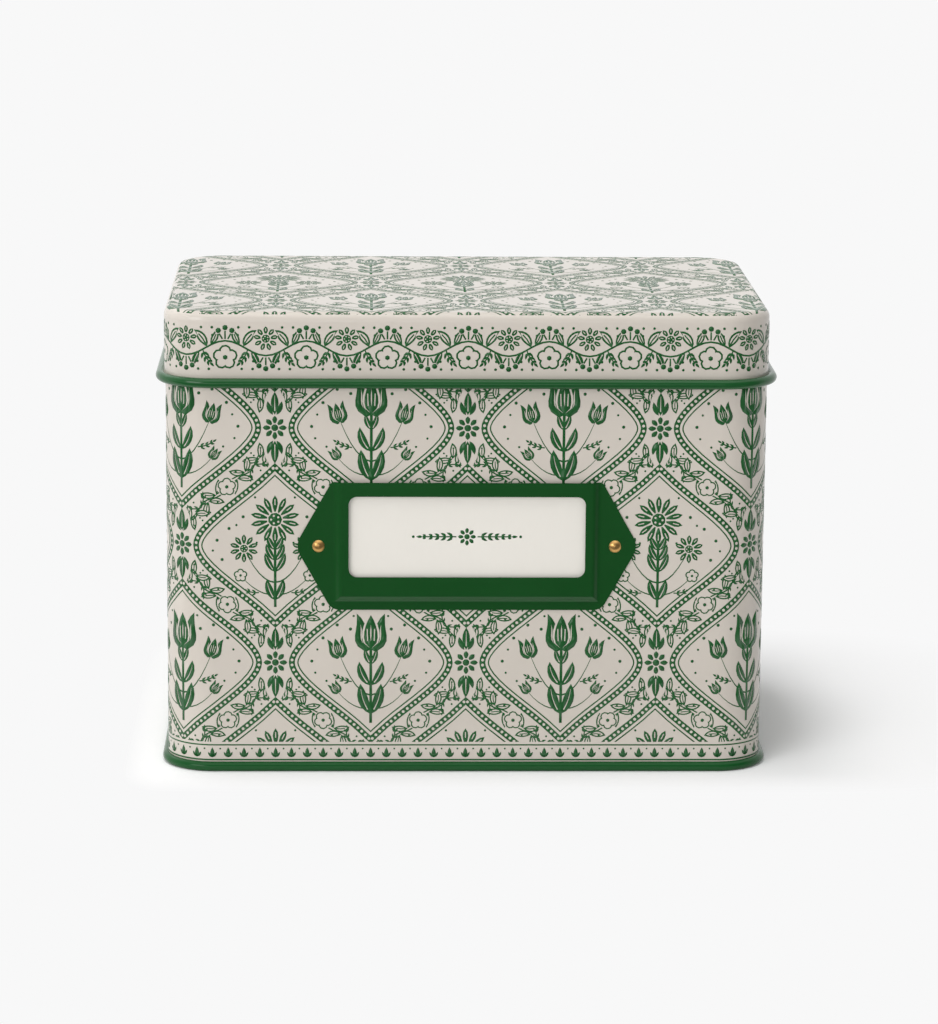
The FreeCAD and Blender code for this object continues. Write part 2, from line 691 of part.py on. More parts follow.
def slope_outline(sketch, start, rise, far, on_sketch):
    """What is in front of the plate beside a slope, as an outline round the slope's two bends.

    The slope leaves the wall at a start, goes the way that the rise gives, and the outline
    reaches out to a far place. Places and depths in front of the wall are put on the sketch
    by a function.
    """
    depth = cell("holder_depth")
    over = f"({depth} + {GAUGE})"
    along = f"({BEND_REACH} * {HOLDER_PITCH} / {HOLDER_STRETCH})"
    out = f"({BEND_REACH} / {HOLDER_STRETCH})"
    root = f"({start} {rise} {HOLDER_PITCH} * {GAUGE})"
    crest = f"({start} {rise} {HOLDER_PITCH} * {depth})"
    back = "+" if rise == "-" else "-"
    root_enter = f"({root} {back} {BEND_REACH})"
    crest_leave = f"({crest} {rise} {BEND_REACH})"
    places = [
        (far, GAUGE),
        (root_enter, GAUGE),
        (f"({root} {rise} {along})", f"({GAUGE} + {out})"),
        (f"({crest} {back} {along})", f"({depth} - {out})"),
        (crest_leave, depth),
        (crest_leave, over),
        (far, over),
    ]
    corners = [on_sketch(*place) for place in places]
    centres = {
        1: on_sketch(root_enter, f"({GAUGE} + {BEND})"),
        3: on_sketch(crest_leave, f"({depth} - {BEND})"),
    }
    chain = []
    for index, corner in enumerate(corners):
        following = corners[(index + 1) % len(corners)]
        if index in centres:
            chain.append(bend_arc(sketch, centres[index], BEND, corner, following))
        else:
            side = Part.LineSegment(point(*corner), point(*following))
            chain.append((sketch.addGeometry(side, False), 1, 2))
    for index, (edge, first, last) in enumerate(chain):
        after, after_first, _ = chain[(index + 1) % len(chain)]
        sketch.addConstraint(Sketcher.Constraint("Coincident", edge, last, after, after_first))
        hold_point(sketch, edge, first, *corners[index])


def seen_from_top(place, depth):
    return place, f"-({HALF_DEPTH} + {depth})"


def seen_from_side(place, depth):
    return f"-({HALF_DEPTH} + {depth})", place


def make_label_holder():
    """A plate with pointed tabs, and a raised middle that is open at the top, with a window."""
    body = new_body("label_holder")
    low = cell("holder_low")
    high = cell("holder_high")
    half = cell("holder_half_width")
    depth = cell("holder_depth")
    plate = new_sketch(body, "plate", "XZ_Plane", HALF_DEPTH)
    corners = [
        (f"-{half}", low),
        (half, low),
        (HOLDER_TIP, HOLDER_MIDDLE),
        (half, high),
        (f"-{half}", high),
        (f"-{HOLDER_TIP}", HOLDER_MIDDLE),
    ]
    outline(plate, corners)
    pad(body, plate, depth, "block")
    tip_x = value(HOLDER_TIP)
    low_z = value(low)
    high_z = value(high)
    block_depth = value(depth)

    def is_tip(edge, middle):
        return crosses_sheet(edge, block_depth) and abs(middle.x) > tip_x - SAME

    def is_foot(edge, middle):
        return crosses_sheet(edge, block_depth) and middle.z < low_z + SAME

    def is_top(edge, middle):
        return crosses_sheet(edge, block_depth) and middle.z > high_z - SAME

    fillet(body, cell("holder_tip_radius"), "tips", is_tip)
    fillet(body, cell("holder_foot_corner"), "foot_corners", is_foot)
    fillet(body, cell("holder_top_corner"), "top_corners", is_top)

    beside = new_sketch(body, "sides", "XY_Plane", f"({low} - {GAUGE})")
    far = f"({HOLDER_TIP} + {GAUGE})"
    slope_outline(beside, RAISED_HALF, "-", far, seen_from_top)
    slope_outline(beside, f"-{RAISED_HALF}", "+", f"-{far}", seen_from_top)
    pocket(body, beside, f"{high} - {low} + 2 * {GAUGE}", "side_slopes", reverse=True)
    below = new_sketch(body, "foot", "YZ_Plane", f"-{far}")
    slope_outline(below, RAISED_FOOT, "+", f"({low} - {GAUGE})", seen_from_side)
    pocket(body, below, f"2 * {far}", "foot_slope", reverse=True)

    inner_depth = f"({depth} - {GAUGE})"
    over = f"({high} + {GAUGE})"
    hollow = [
        ("0", raised_sides("0", HOLDER_SKIN, over)),
        (inner_depth, raised_sides(inner_depth, HOLDER_SKIN, over)),
    ]
    loft_middle(body, "SubtractiveLoft", "hollow", hollow)

    window = new_sketch(body, "window_outline", "XZ_Plane", f"{HALF_DEPTH} + {depth} + {GAUGE}")
    window_half = f"({RAISED_HALF} - {cell('window_side_margin')})"
    window_low = f"({low} + {cell('window_foot_margin')})"
    window_high = f"({high} - {cell('window_top_margin')})"
    corner = cell("window_corner")
    rounded_rectangle(window, f"-{window_half}", window_half, window_low, window_high, corner)
    pierce(body, window, GAUGE, "window")

    holes = new_sketch(body, "holes", "XZ_Plane", f"{HALF_DEPTH} + 2 * {GAUGE}")
    label_rivet_holes(holes)
    pierce(body, holes, GAUGE, "rivet_holes")
    return body


def make_label_card():
    """The slip of paper behind the window."""
    body = new_body("label_card")
    sheet_outline = new_sketch(body, "outline", "XZ_Plane", f"{HALF_DEPTH} + {cell('card_play')}")
    face = f"({cell('card_play')} + {cell('card_gauge')})"
    high = f"({cell('holder_high')} - {cell('card_top_drop')})"
    left, right, low, top = raised_sides(face, HOLDER_SKIN, high)
    side_room = cell("card_side_room")
    foot = f"{low} + {cell('card_foot_room')}"
    rectangle(sheet_outline, f"{left} + {side_room}", f"{right} - {side_room}", foot, top)
    pad(body, sheet_outline, cell("card_gauge"), "card")
    return body


# The dividers and the recipe cards

def section_front(index):
    """The front face of a section, counted from the front of the box."""
    return f"({LAST_FRONT} - {SECTIONS - 1 - index} * {cell('section_pitch')})"


def make_divider(index):
    """A card with a tab on its top edge. The tabs stand left, middle and right in turn."""
    body = new_body(f"divider_{index + 1}")
    sketch = new_sketch(body, "outline", "XZ_Plane", f"-{section_front(index)}")
    half_tab = f"({cell('tab_width')} / 2)"
    reach = f"({RECIPE_HALF} - {cell('tab_side_margin')} - {half_tab})"
    share = 2 * (index % TAB_PLACES) / (TAB_PLACES - 1) - 1
    middle = f"({share} * {reach})"
    crest = f"({RECIPE_HIGH} + {cell('tab_rise')})"
    slant = cell("tab_slant")
    corners = [
        (f"-{RECIPE_HALF}", RECIPE_LOW),
        (RECIPE_HALF, RECIPE_LOW),
        (RECIPE_HALF, RECIPE_HIGH),
        (f"{middle} + {half_tab}", RECIPE_HIGH),
        (f"{middle} + {half_tab} - {slant}", crest),
        (f"{middle} - {half_tab} + {slant}", crest),
        (f"{middle} - {half_tab}", RECIPE_HIGH),
        (f"-{RECIPE_HALF}", RECIPE_HIGH),
    ]
    outline(sketch, corners)
    thickness = cell("divider_thickness")
    pad(body, sketch, thickness, "sheet", reverse=True)
    gauge = value(thickness)
    crest_z = value(crest)
    top_z = value(RECIPE_HIGH)
    side_x = value(RECIPE_HALF)

    def is_rounded(edge, spot):
        on_tab = spot.z > crest_z - SAME
        at_side = spot.z > top_z - SAME and abs(spot.x) > side_x - SAME
        return crosses_sheet(edge, gauge) and (on_tab or at_side)

    fillet(body, cell("divider_corner"), "corners", is_rounded)
    return body


def make_recipe_cards(index):
    """The stack of recipe cards behind a divider."""
    body = new_body(f"recipe_cards_{index + 1}")
    face = f"({section_front(index)} + {cell('divider_thickness')})"
    sketch = new_sketch(body, "outline", "XZ_Plane", f"-{face}")
    rectangle(sketch, f"-{RECIPE_HALF}", RECIPE_HALF, RECIPE_LOW, RECIPE_HIGH)
    pad(body, sketch, f"{SECTION_THICKNESS} - {cell('divider_thickness')}", "stack", reverse=True)
    return body


def make_parts():
    parts = [
        make_body_wall(),
        make_base_panel(),
        make_lid(),
        make_hinge_wire(),
        make_hinge_strap("hinge_strap_left", "-"),
        make_hinge_strap("hinge_strap_right", ""),
        make_hinge_rivets(),
        make_label_holder(),
        make_label_card(),
        make_label_rivets(),
    ]
    for index in range(SECTIONS):
        parts.append(make_divider(index))
        parts.append(make_recipe_cards(index))
    doc.recompute()
    return parts


def check(parts):
    """Stop if any object failed, or if a sub-part has no valid shape."""
    for item in doc.Objects:
        if "Invalid" in item.State or "Error" in item.State:
            raise RuntimeError(f"{item.Name} is {item.State}")
    for part in parts:
        if part.Shape.isNull() or not part.Shape.isValid() or not part.Shape.Solids:
            raise RuntimeError(f"{part.Label} has no valid solid")


def export(parts):
    os.makedirs("parts", exist_ok=True)
    for part in parts:
        part.Shape.exportStep(os.path.join("parts", f"{part.Label}.step"))
        bounds = part.Shape.BoundBox
        size = f"{bounds.XLength:.2f} x {bounds.YLength:.2f} x {bounds.ZLength:.2f}"
        print(f"{part.Label}: {len(part.Shape.Solids)} solid, {part.Shape.Volume:.1f} mm3, {size}")


all_parts = make_parts()
check(all_parts)
export(all_parts)
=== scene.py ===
import math
import random

import bpy
import numpy as np
from mathutils import Matrix, Vector
from mathutils.geometry import delaunay_2d_cdt


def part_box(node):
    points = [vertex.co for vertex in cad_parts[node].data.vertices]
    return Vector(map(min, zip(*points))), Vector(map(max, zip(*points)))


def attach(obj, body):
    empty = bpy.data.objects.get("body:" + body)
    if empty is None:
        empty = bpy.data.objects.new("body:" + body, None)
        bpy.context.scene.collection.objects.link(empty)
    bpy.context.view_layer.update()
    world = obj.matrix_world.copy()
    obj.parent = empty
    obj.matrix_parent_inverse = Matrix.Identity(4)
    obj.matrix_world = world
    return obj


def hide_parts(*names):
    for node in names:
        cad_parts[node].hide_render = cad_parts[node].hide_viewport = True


# A printed tinplate recipe box with a beaded lid, a label holder and cards inside.
# Pieces are made in metres, and drawings in millimetres, which MM turns into metres.

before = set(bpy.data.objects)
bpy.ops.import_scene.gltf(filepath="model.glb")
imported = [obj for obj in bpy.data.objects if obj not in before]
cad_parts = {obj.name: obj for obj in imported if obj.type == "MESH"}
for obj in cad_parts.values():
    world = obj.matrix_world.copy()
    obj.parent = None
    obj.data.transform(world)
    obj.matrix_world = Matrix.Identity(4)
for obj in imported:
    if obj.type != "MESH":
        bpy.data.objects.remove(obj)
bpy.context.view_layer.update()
MM = 0.001


# Materials

def srgb(red, green, blue):
    """A colour given by its screen values from 0 to 255, as a shader takes it."""
    linear = []
    for part in (red, green, blue):
        part = part / 255
        linear.append(part / 12.92 if part <= 0.04045 else ((part + 0.055) / 1.055) ** 2.4)
    return (*linear, 1.0)


CREAM = srgb(211, 203, 193)
GREEN = srgb(20, 82, 36)
INK = srgb(28, 89, 42)
ENAMEL = srgb(2, 73, 20)
TIN = srgb(205, 205, 202)
BRASS = srgb(240, 190, 118)
PAPER = srgb(236, 232, 224)
BOARD = srgb(214, 204, 180)
CARD = srgb(236, 233, 225)
RULE = srgb(140, 176, 150)


def add(tree, kind, inputs=None, **settings):
    """A node with its settings made and its sockets linked or set."""
    made = tree.nodes.new(kind)
    for key, setting in settings.items():
        setattr(made, key, setting)
    for socket, source in (inputs or {}).items():
        feed(made, socket, source)
    return made


def feed(node, socket, source):
    """Link a source to a node's socket, or set the socket to a value."""
    if isinstance(source, bpy.types.NodeSocket):
        node.id_data.links.new(source, node.inputs[socket])
    else:
        node.inputs[socket].default_value = source


def follow(kind, inputs, **settings):
    """A node in the same tree as the sockets that feed it."""
    feeding = [source for source in inputs.values() if isinstance(source, bpy.types.NodeSocket)]
    return add(feeding[0].id_data, kind, inputs, **settings)


def math_node(operation, first, second=0.0, clamp=False):
    made = follow("ShaderNodeMath", {0: first, 1: second}, operation=operation, use_clamp=clamp)
    return made.outputs[0]


def vector_node(operation, first, second=(0, 0, 0)):
    made = follow("ShaderNodeVectorMath", {0: first, 1: second}, operation=operation)
    return made.outputs["Value" if operation in ("LENGTH", "DOT_PRODUCT") else "Vector"]


def mix_colours(share, first, second):
    return follow("ShaderNodeMix", {0: share, 6: first, 7: second}, data_type="RGBA").outputs[2]


def mix_numbers(share, first, second):
    return follow("ShaderNodeMix", {0: share, 2: first, 3: second}, data_type="FLOAT").outputs[0]


def ramp(value, low, high):
    """0 below the low value, 1 above the high one, and a straight climb between."""
    made = follow("ShaderNodeMapRange", {"Value": value, "From Min": low, "From Max": high})
    return made.outputs["Result"]


def axis(vector, name):
    return follow("ShaderNodeSeparateXYZ", {0: vector}).outputs[name]


def new_material(name, specular=0.5):
    """A material, its shader and the coordinates that its nodes can start from."""
    made = bpy.data.materials.new(name)
    made.use_nodes = True
    shader = made.node_tree.nodes["Principled BSDF"]
    feed(shader, "Specular IOR Level", specular)
    return made, shader, add(made.node_tree, "ShaderNodeTexCoord").outputs


def noise(place, scale, detail=2.0, stretch=(1.0, 1.0, 1.0), roughness=0.5):
    """Noise from 0 to 1 with so many cells to a metre, drawn out along the axes."""
    spread = follow("ShaderNodeMapping", {"Vector": place, "Scale": stretch})
    inputs = {"Vector": spread.outputs[0], "Scale": scale, "Detail": detail, "Roughness": roughness}
    return follow("ShaderNodeTexNoise", inputs).outputs["Fac"]


def bump(shader, height, distance, strength):
    """Fine relief by the shader alone, as deep as a distance in metres."""
    inputs = {"Height": height, "Distance": distance, "Strength": strength}
    feed(shader, "Normal", follow("ShaderNodeBump", inputs).outputs[0])


def vary(colour, share, amount):
    """A colour that gets darker and lighter by an amount as the share goes from 0 to 1."""
    ends = []
    for factor in (1 - amount, 1 + amount):
        ends.append([min(part * factor, 1.0) for part in colour[:3]] + [1.0])
    return mix_colours(share, *ends)


# How deep the relief of lacquer, metal and paper is
PEEL, GRAIN, FIBRE = 0.02 * MM, 0.01 * MM, 0.03 * MM

# A wall faces out where its plane lies further than this from the upright axis, on the side it faces,
# and a sheet is level where its normal rises by more than LEVEL
AXIS_DISTANCE, LEVEL = 10 * MM, 0.3


def lacquer(name, colour, edge=None, specular=0.5, out=1.0):
    """Satin lacquer outside and bright tinplate inside, and green all over an edge.

    The outside of a level sheet faces up, or down where out is -1. An edge is the middle of a round
    corner, the radius where it begins and its top.
    """
    made, shader, places = new_material(name, specular)
    spot, normal = places["Object"], places["Normal"]
    cloud = noise(spot, 30.0, 3.0)
    paint = vary(colour, cloud, 0.025)
    flat = vector_node("MULTIPLY", spot, (1, 1, 0))
    distance = vector_node("DOT_PRODUCT", flat, normal)
    upright = math_node("GREATER_THAN", distance, AXIS_DISTANCE)
    rise = math_node("MULTIPLY", axis(normal, "Z"), out)
    outside = math_node("MAXIMUM", upright, math_node("GREATER_THAN", rise, LEVEL))
    if edge:
        middle, radius, top = edge
        beyond = vector_node("SUBTRACT", vector_node("ABSOLUTE", flat), middle)
        beyond = vector_node("LENGTH", vector_node("MAXIMUM", beyond, (0, 0, 0)))
        far = math_node("GREATER_THAN", beyond, radius)
        low = math_node("LESS_THAN", axis(spot, "Z"), top)
        green = math_node("MULTIPLY", far, low)
        paint = mix_colours(green, paint, vary(GREEN, cloud, 0.08))
        outside = math_node("MAXIMUM", outside, green)
    grain = noise(spot, 500.0, 2.0, (1.0, 1.0, 0.05))
    tin = vary(TIN, grain, 0.06)
    feed(shader, "Base Color", mix_colours(outside, tin, paint))
    feed(shader, "Metallic", math_node("SUBTRACT", 1.0, outside))
    satin = mix_numbers(cloud, 0.17, 0.23)
    polished = mix_numbers(grain, 0.26, 0.38)
    feed(shader, "Roughness", mix_numbers(outside, polished, satin))
    bump(shader, noise(spot, 700.0, 1.0), PEEL, 0.25)
    return made


def enamel(name, colour, low, high, bumpy):
    """Glossy colour that is a little uneven, with a faint orange peel where it is bumpy."""
    made, shader, places = new_material(name)
    spot = places["Object"]
    cloud = noise(spot, 60.0, 3.0)
    feed(shader, "Base Color", vary(colour, cloud, 0.08))
    feed(shader, "Roughness", mix_numbers(cloud, low, high))
    if bumpy:
        bump(shader, noise(spot, 900.0, 1.0), PEEL, 0.2)
    return made


def metal(name, colour, low, high, stretch):
    """Bare metal with a fine grain, drawn out along the axes."""
    made, shader, places = new_material(name)
    spot = places["Object"]
    grain = noise(spot, 900.0, 3.0, stretch)
    feed(shader, "Base Color", vary(colour, grain, 0.05))
    feed(shader, "Roughness", mix_numbers(grain, low, high))
    feed(shader, "Metallic", 1.0)
    bump(shader, grain, GRAIN, 0.2)
    return made


def between(value, low, high):
    """1 where a value lies between two others, and 0 elsewhere."""
    above = math_node("GREATER_THAN", value, low)
    return math_node("MULTIPLY", above, math_node("LESS_THAN", value, high))


# The writing lines of a card: their pitch, the inked share of it, between which heights and how far
# from the middle they run, and the edges of the head line
RULE_PITCH, RULE_SHARE = 6 * MM, 0.05
RULE_LOW, RULE_HIGH, RULE_REACH = 9 * MM, 88 * MM, 70 * MM
HEAD_LOW, HEAD_HIGH = 91.5 * MM, 92.1 * MM


def paper(name, colour, fleck, tab_above=None, ruled=False):
    """Paper or board with fine fibres, a green tab above a height, or ruled for writing."""
    made, shader, places = new_material(name, 0.25)
    spot = places["Object"]
    fibre = noise(spot, 900.0, 4.0, (1.0, 1.0, 0.4), 0.65)
    cloud = noise(spot, 45.0, 2.0)
    tone = mix_numbers(0.4, fibre, cloud)
    paint = vary(colour, tone, fleck)
    height = axis(spot, "Z")
    if tab_above:
        tab = math_node("GREATER_THAN", height, tab_above)
        paint = mix_colours(tab, paint, vary(INK, tone, 0.1))
    if ruled:
        step = math_node("FRACT", math_node("DIVIDE", height, RULE_PITCH))
        lines = math_node("LESS_THAN", step, RULE_SHARE)
        lines = math_node("MULTIPLY", lines, between(height, RULE_LOW, RULE_HIGH))
        lines = math_node("MAXIMUM", lines, between(height, HEAD_LOW, HEAD_HIGH))
        across = math_node("ABSOLUTE", axis(spot, "X"))
        lines = math_node("MULTIPLY", lines, math_node("LESS_THAN", across, RULE_REACH))
        paint = mix_colours(lines, paint, RULE)
    feed(shader, "Base Color", paint)
    feed(shader, "Roughness", mix_numbers(fibre, 0.78, 0.92))
    bump(shader, fibre, FIBRE, 0.35)
    return made


# Surfaces that carry the print

CORNER_STEPS = 20


class RoundBox:
    """An upright box with round corners, measured by a walk from the middle of its front."""

    def __init__(self, half_width, half_depth, radius):
        self.half_depth = half_depth
        self.radius = radius
        self.front = half_width - radius
        self.side = 2 * (half_depth - radius)
        self.quarter = math.pi / 2 * radius
        self.half_round = 2 * (self.front + self.quarter) + self.side

    def lay(self, walk, height):
        """The point at a walk and a height, and the way out of the box there."""
        walked = abs(walk)
        back = walked - self.front - self.quarter - self.side
        turned = clamp(walked - self.front, self.quarter) + clamp(back, self.quarter)
        turn = turned / self.radius
        across = min(walked, self.front) - max(back - self.quarter, 0)
        across += self.radius * math.sin(turn)
        along = clamp(walked - self.front - self.quarter, self.side) - self.half_depth + self.radius
        along -= self.radius * math.cos(turn)
        out = Vector((math.copysign(math.sin(turn), walk), -math.cos(turn), 0))
        return Vector((math.copysign(across, walk), along, height)), out

    def cuts(self, low, high):
        """The upright lines that divide the round corners, between two heights."""
        lines = []
        for start in (self.front, self.front + self.quarter + self.side):
            for index in range(CORNER_STEPS + 1):
                walk = start + self.quarter * index / CORNER_STEPS
                lines.append([(walk, low), (walk, high)])
        return lines


def clamp(value, top):
    return min(max(value, 0), top)


def rounded(half_width, half_height, radius, steps):
    """The outline of a rectangle with round corners of so many steps each."""
    outline = []
    for quarter, (across, along) in enumerate(((1, 1), (-1, 1), (-1, -1), (1, -1))):
        for index in range(steps + 1):
            over, up = direction(90 * (quarter + index / steps))
            x = across * (half_width - radius) + radius * over
            y = along * (half_height - radius) + radius * up
            outline.append((x, y))
    return outline


def right_half(outline):
    """The part of a closed outline to the right of its middle, from its foot up."""
    right = [spot for spot in outline if spot[0] > 0]
    middle = len(right) // 2
    right = right[middle:] + right[:middle]
    return [(0, right[0][1])] + right + [(0, right[-1][1])]


# The outside of the wall, how far the lid's skirt stands out from it, and the lid's round upper edge
HALF_WIDTH, HALF_DEPTH, CORNER = 85.5, 56.0, 13.5
LID_GAP, LID_EDGE = 0.3, 2.6
lid_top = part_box("lid")[1].z / MM
wall_round = RoundBox(HALF_WIDTH, HALF_DEPTH, CORNER)
lid_round = RoundBox(HALF_WIDTH + LID_GAP, HALF_DEPTH + LID_GAP, CORNER + LID_GAP)


def lay_top(x, y):
    """The point of the lid's flat top, or of the round edge outside it, and the way out there."""
    flat = lid_round.radius - LID_EDGE
    over = abs(x) - clamp(abs(x), lid_round.front)
    along = abs(y) - clamp(abs(y), lid_round.side / 2)
    length = math.hypot(over, along)
    if length <= flat:
        return Vector((x, y, lid_top)), Vector((0, 0, 1))
    turn = (length - flat) / LID_EDGE
    side = Vector((math.copysign(over, x), math.copysign(along, y), 0)) / length
    spot = Vector((x, y, lid_top)) + side * (flat + LID_EDGE * math.sin(turn) - length)
    spot.z -= LID_EDGE * (1 - math.cos(turn))
    return spot, side * math.sin(turn) + Vector((0, 0, math.cos(turn)))


def top_outline(past):
    """The outline of the right half of the lid's flat top, or of what lies past it on its edge."""
    flat = lid_round.radius - LID_EDGE
    half_width, half_depth = lid_round.front + flat, lid_round.side / 2 + flat
    return right_half(rounded(half_width + past, half_depth + past, flat + past, CORNER_STEPS))


# Drawings. Each is a list of outlines, inked or bare, and a later outline covers an earlier one.

BARE, INKED = 0, 1
VINES, BORDERS, SPRIGS = 1, 2, 3


def direction(angle):
    return math.cos(math.radians(angle)), math.sin(math.radians(angle))


def bow(x, y, heading, length, bend=0.0, steps=5):
    """A path from a place that turns evenly by a bend."""
    path = [(x, y)]
    step = length / steps
    for index in range(steps):
        across, along = direction(heading + bend * (index + 0.5) / steps)
        x += step * across
        y += step * along
        path.append((x, y))
    return path


# Forms of a stroke: how wide it is at a share of its length

def even(share):
    return 1.0


def pointed(share):
    return math.sin(math.pi * share) ** 0.8 if 0.01 < share < 0.99 else 0.0


def late(share):
    return pointed(share ** 1.5)


def early(share):
    return pointed(share ** 0.7)


def tapered(share):
    return 1.0 - 0.7 * share


def stroke(ink, path, width, form=even):
    """The outline of a stroke along a path, as wide at each point as its form says."""
    left, right = [], []
    last = len(path) - 1
    for index, (x, y) in enumerate(path):
        before = path[max(index - 1, 0)]
        after = path[min(index + 1, last)]
        across, along = after[0] - before[0], after[1] - before[1]
        reach = width / 2 * form(index / last) / math.hypot(across, along)
        left.append((x - along * reach, y + across * reach))
        right.append((x + along * reach, y - across * reach))
    return [(ink, list(dict.fromkeys(right + left[::-1])))]


def disc(ink, x, y, radius, sides=6):
    outline = []
    for index in range(sides):
        across, along = direction(360 * (index + 0.5) / sides)
        outline.append((x + radius * across, y + radius * along))
    return [(ink, outline)]


def moved(drawing, x=0.0, y=0.0, angle=0.0, size=1.0, flip=1.0, rise=1.0):
    """A drawing mirrored if asked, by a flip or a rise of -1, then scaled, turned and moved."""
    cosine, sine = direction(angle)
    copy = []
    for ink, outline in drawing:
        spots = []
        for u, v in outline:
            u, v = u * size * flip, v * size * rise
            spots.append((x + u * cosine - v * sine, y + u * sine + v * cosine))
        copy.append((ink, spots))
    return copy


def stem(first, last, rise, width=0.5):
    """A stem between two places, curved by lifting its middle off the straight line."""
    path = []
    for index in range(7):
        share = index / 6
        lift = 4 * rise * share * (1 - share)
        x = first[0] + (last[0] - first[0]) * share
        y = first[1] + (last[1] - first[1]) * share + lift
        path.append((x, y))
    return stroke(INKED, path, width, tapered)


def both(drawing):
    """A drawing and its mirror image about the upright axis."""
    return drawing + moved(drawing, flip=-1.0)


def solid_leaf(x, y, heading, length, width, bend=0.0, vein=0.3):
    """A full leaf with a bare vein, which stops short of the tip."""
    path = bow(x, y, heading, length, bend, 6)
    drawing = stroke(INKED, path, width, pointed)
    if vein:
        drawing += stroke(BARE, path[1:-1], vein, tapered)
    return drawing


def line_leaf(x, y, heading, length, width, bend=0.0, line=0.35):
    """A leaf drawn by its outline and a vein."""
    whole = bow(x, y, heading, length, bend, 6)
    start = bow(x, y, heading, 0.13 * length, 0.13 * bend, 1)[-1]
    inner = bow(*start, heading + 0.13 * bend, 0.72 * length, 0.72 * bend, 5)
    drawing = stroke(INKED, whole, width, pointed)
    drawing += stroke(BARE, inner, width - 2.2 * line, pointed)
    drawing += stroke(INKED, inner[:-1:2], 0.8 * line)
    return drawing


def twig(x, y, heading, length, bend, leaves, leaf):
    """A bent stem with pairs of small full leaves and one at its end."""
    path = bow(x, y, heading, length, bend, 2 * leaves)
    drawing = stroke(INKED, path, 0.36)
    for index in range(1, leaves + 1):
        spot = path[2 * index - 1]
        ahead = heading + bend * (2 * index - 1) / (2 * leaves)
        for side in (-1, 1):
            leaflet = bow(*spot, ahead + 48 * side, leaf * (1.1 - 0.12 * index), -30 * side, 3)
            drawing += stroke(INKED, leaflet, 0.36 * leaf, early)
    drawing += stroke(INKED, bow(*path[-1], heading + bend, leaf * 0.8, 0, 3), 0.36 * leaf, early)
    return drawing


def line_flower(x, y, radius, line=0.37):
    """A flower of five round petals drawn by its outline, with a dot in the middle."""
    petal = 0.5 * radius
    out = radius - petal
    whole, inner = [], []
    for index in range(5):
        across, along = direction(90 + 72 * index)
        whole += disc(INKED, x + out * across, y + out * along, petal, 9)
        inner += disc(BARE, x + out * across, y + out * along, petal - line, 9)
    return whole + inner + disc(BARE, x, y, 0.35 * radius) + disc(INKED, x, y, 0.2 * radius)


def daisy(x, y, radius, petals, heart, nick=True):
    """A full flower of long petals round a dotted heart."""
    drawing = []
    width = 1.05 * math.pi * radius / petals
    for index in range(petals):
        heading = 90 + 360 * index / petals
        across, along = direction(heading)
        first = (x + 0.7 * heart * across, y + 0.7 * heart * along)
        drawing += stroke(INKED, bow(*first, heading, radius - 0.7 * heart), width, late)
        if nick:
            middle = (x + 0.6 * radius * across, y + 0.6 * radius * along)
            drawing += stroke(BARE, bow(*middle, heading, 0.24 * radius, 0, 1), 0.16 * width)
    drawing += disc(BARE, x, y, heart + 0.3, 10) + disc(INKED, x, y, heart, 9)
    if nick:
        out = 0.56 * heart
        for index in range(5):
            across, along = direction(72 * index)
            drawing += disc(BARE, x + out * across, y + out * along, 0.17 * heart, 5)
    return drawing


def tulip():
    """A tulip 10 high that stands on its base, with side petals that curl out at their tips."""
    side = bow(-0.3, 0.2, 160, 4.4, -75, 4)
    side += bow(*side[-1], 85, 6.0, 32, 4)[1:]
    drawing = both(stroke(INKED, side, 3.4, early) + stroke(BARE, side[2:7], 0.32, pointed))
    drawing += stroke(BARE, bow(0, 0.1, 90, 9.6, 0, 6), 4.6, early)
    drawing += stroke(INKED, bow(0, 0.1, 90, 9.0, 0, 6), 3.6, early)
    drawing += stroke(BARE, bow(0, 2.0, 90, 4.6, 0, 3), 0.34, pointed)
    drawing += both(stroke(BARE, bow(-0.85, 2.2, 92, 3.2, 0, 2), 0.26))
    drawing += both(stroke(INKED, bow(0, 0.4, 215, 2.4, -50, 4), 1.1, pointed))
    return drawing


def dots(places, radius):
    """Dots at some places and at their mirror images."""
    drawing = []
    for x, y in places:
        drawing += disc(INKED, x, y, radius)
    return both(drawing)


def tulip_sprig():
    """A tall tulip between two small ones, with long leaves and buds."""
    drawing = both(stem((0, -9.6), (-8.7, 1.8), -2.6) + stem((0, -13.4), (-9.4, -8.6), -1.7, 0.45))
    drawing += stroke(INKED, [(0, -17.8), (0, 4.2)], 0.8)
    drawing += both(solid_leaf(0, -15.2, 126, 9.6, 3.0, -36))
    drawing += both(solid_leaf(0, -6.8, 140, 8.0, 2.4, -50))
    drawing += both(solid_leaf(0, -0.6, 125, 5.0, 1.6, -30, 0.24))
    drawing += both(twig(-5.4, -5.6, 176, 4.6, -30, 3, 1.7))
    drawing += moved(tulip(), 0, 3.9, size=1.1)
    drawing += both(moved(tulip(), -8.8, 1.6, 14, 0.62))
    drawing += both(moved(tulip(), -9.2, -8.8, 34, 0.38))
    drawing += dots([(-5.8, 9.8), (-13.6, 7.2), (-16.8, 0.4), (-9.6, 11.0)], 0.5)
    drawing += dots([(-4.9, 13.6), (-15.2, 3.8), (-15.8, -3.0), (-12.6, -5.4)], 0.36)
    return drawing


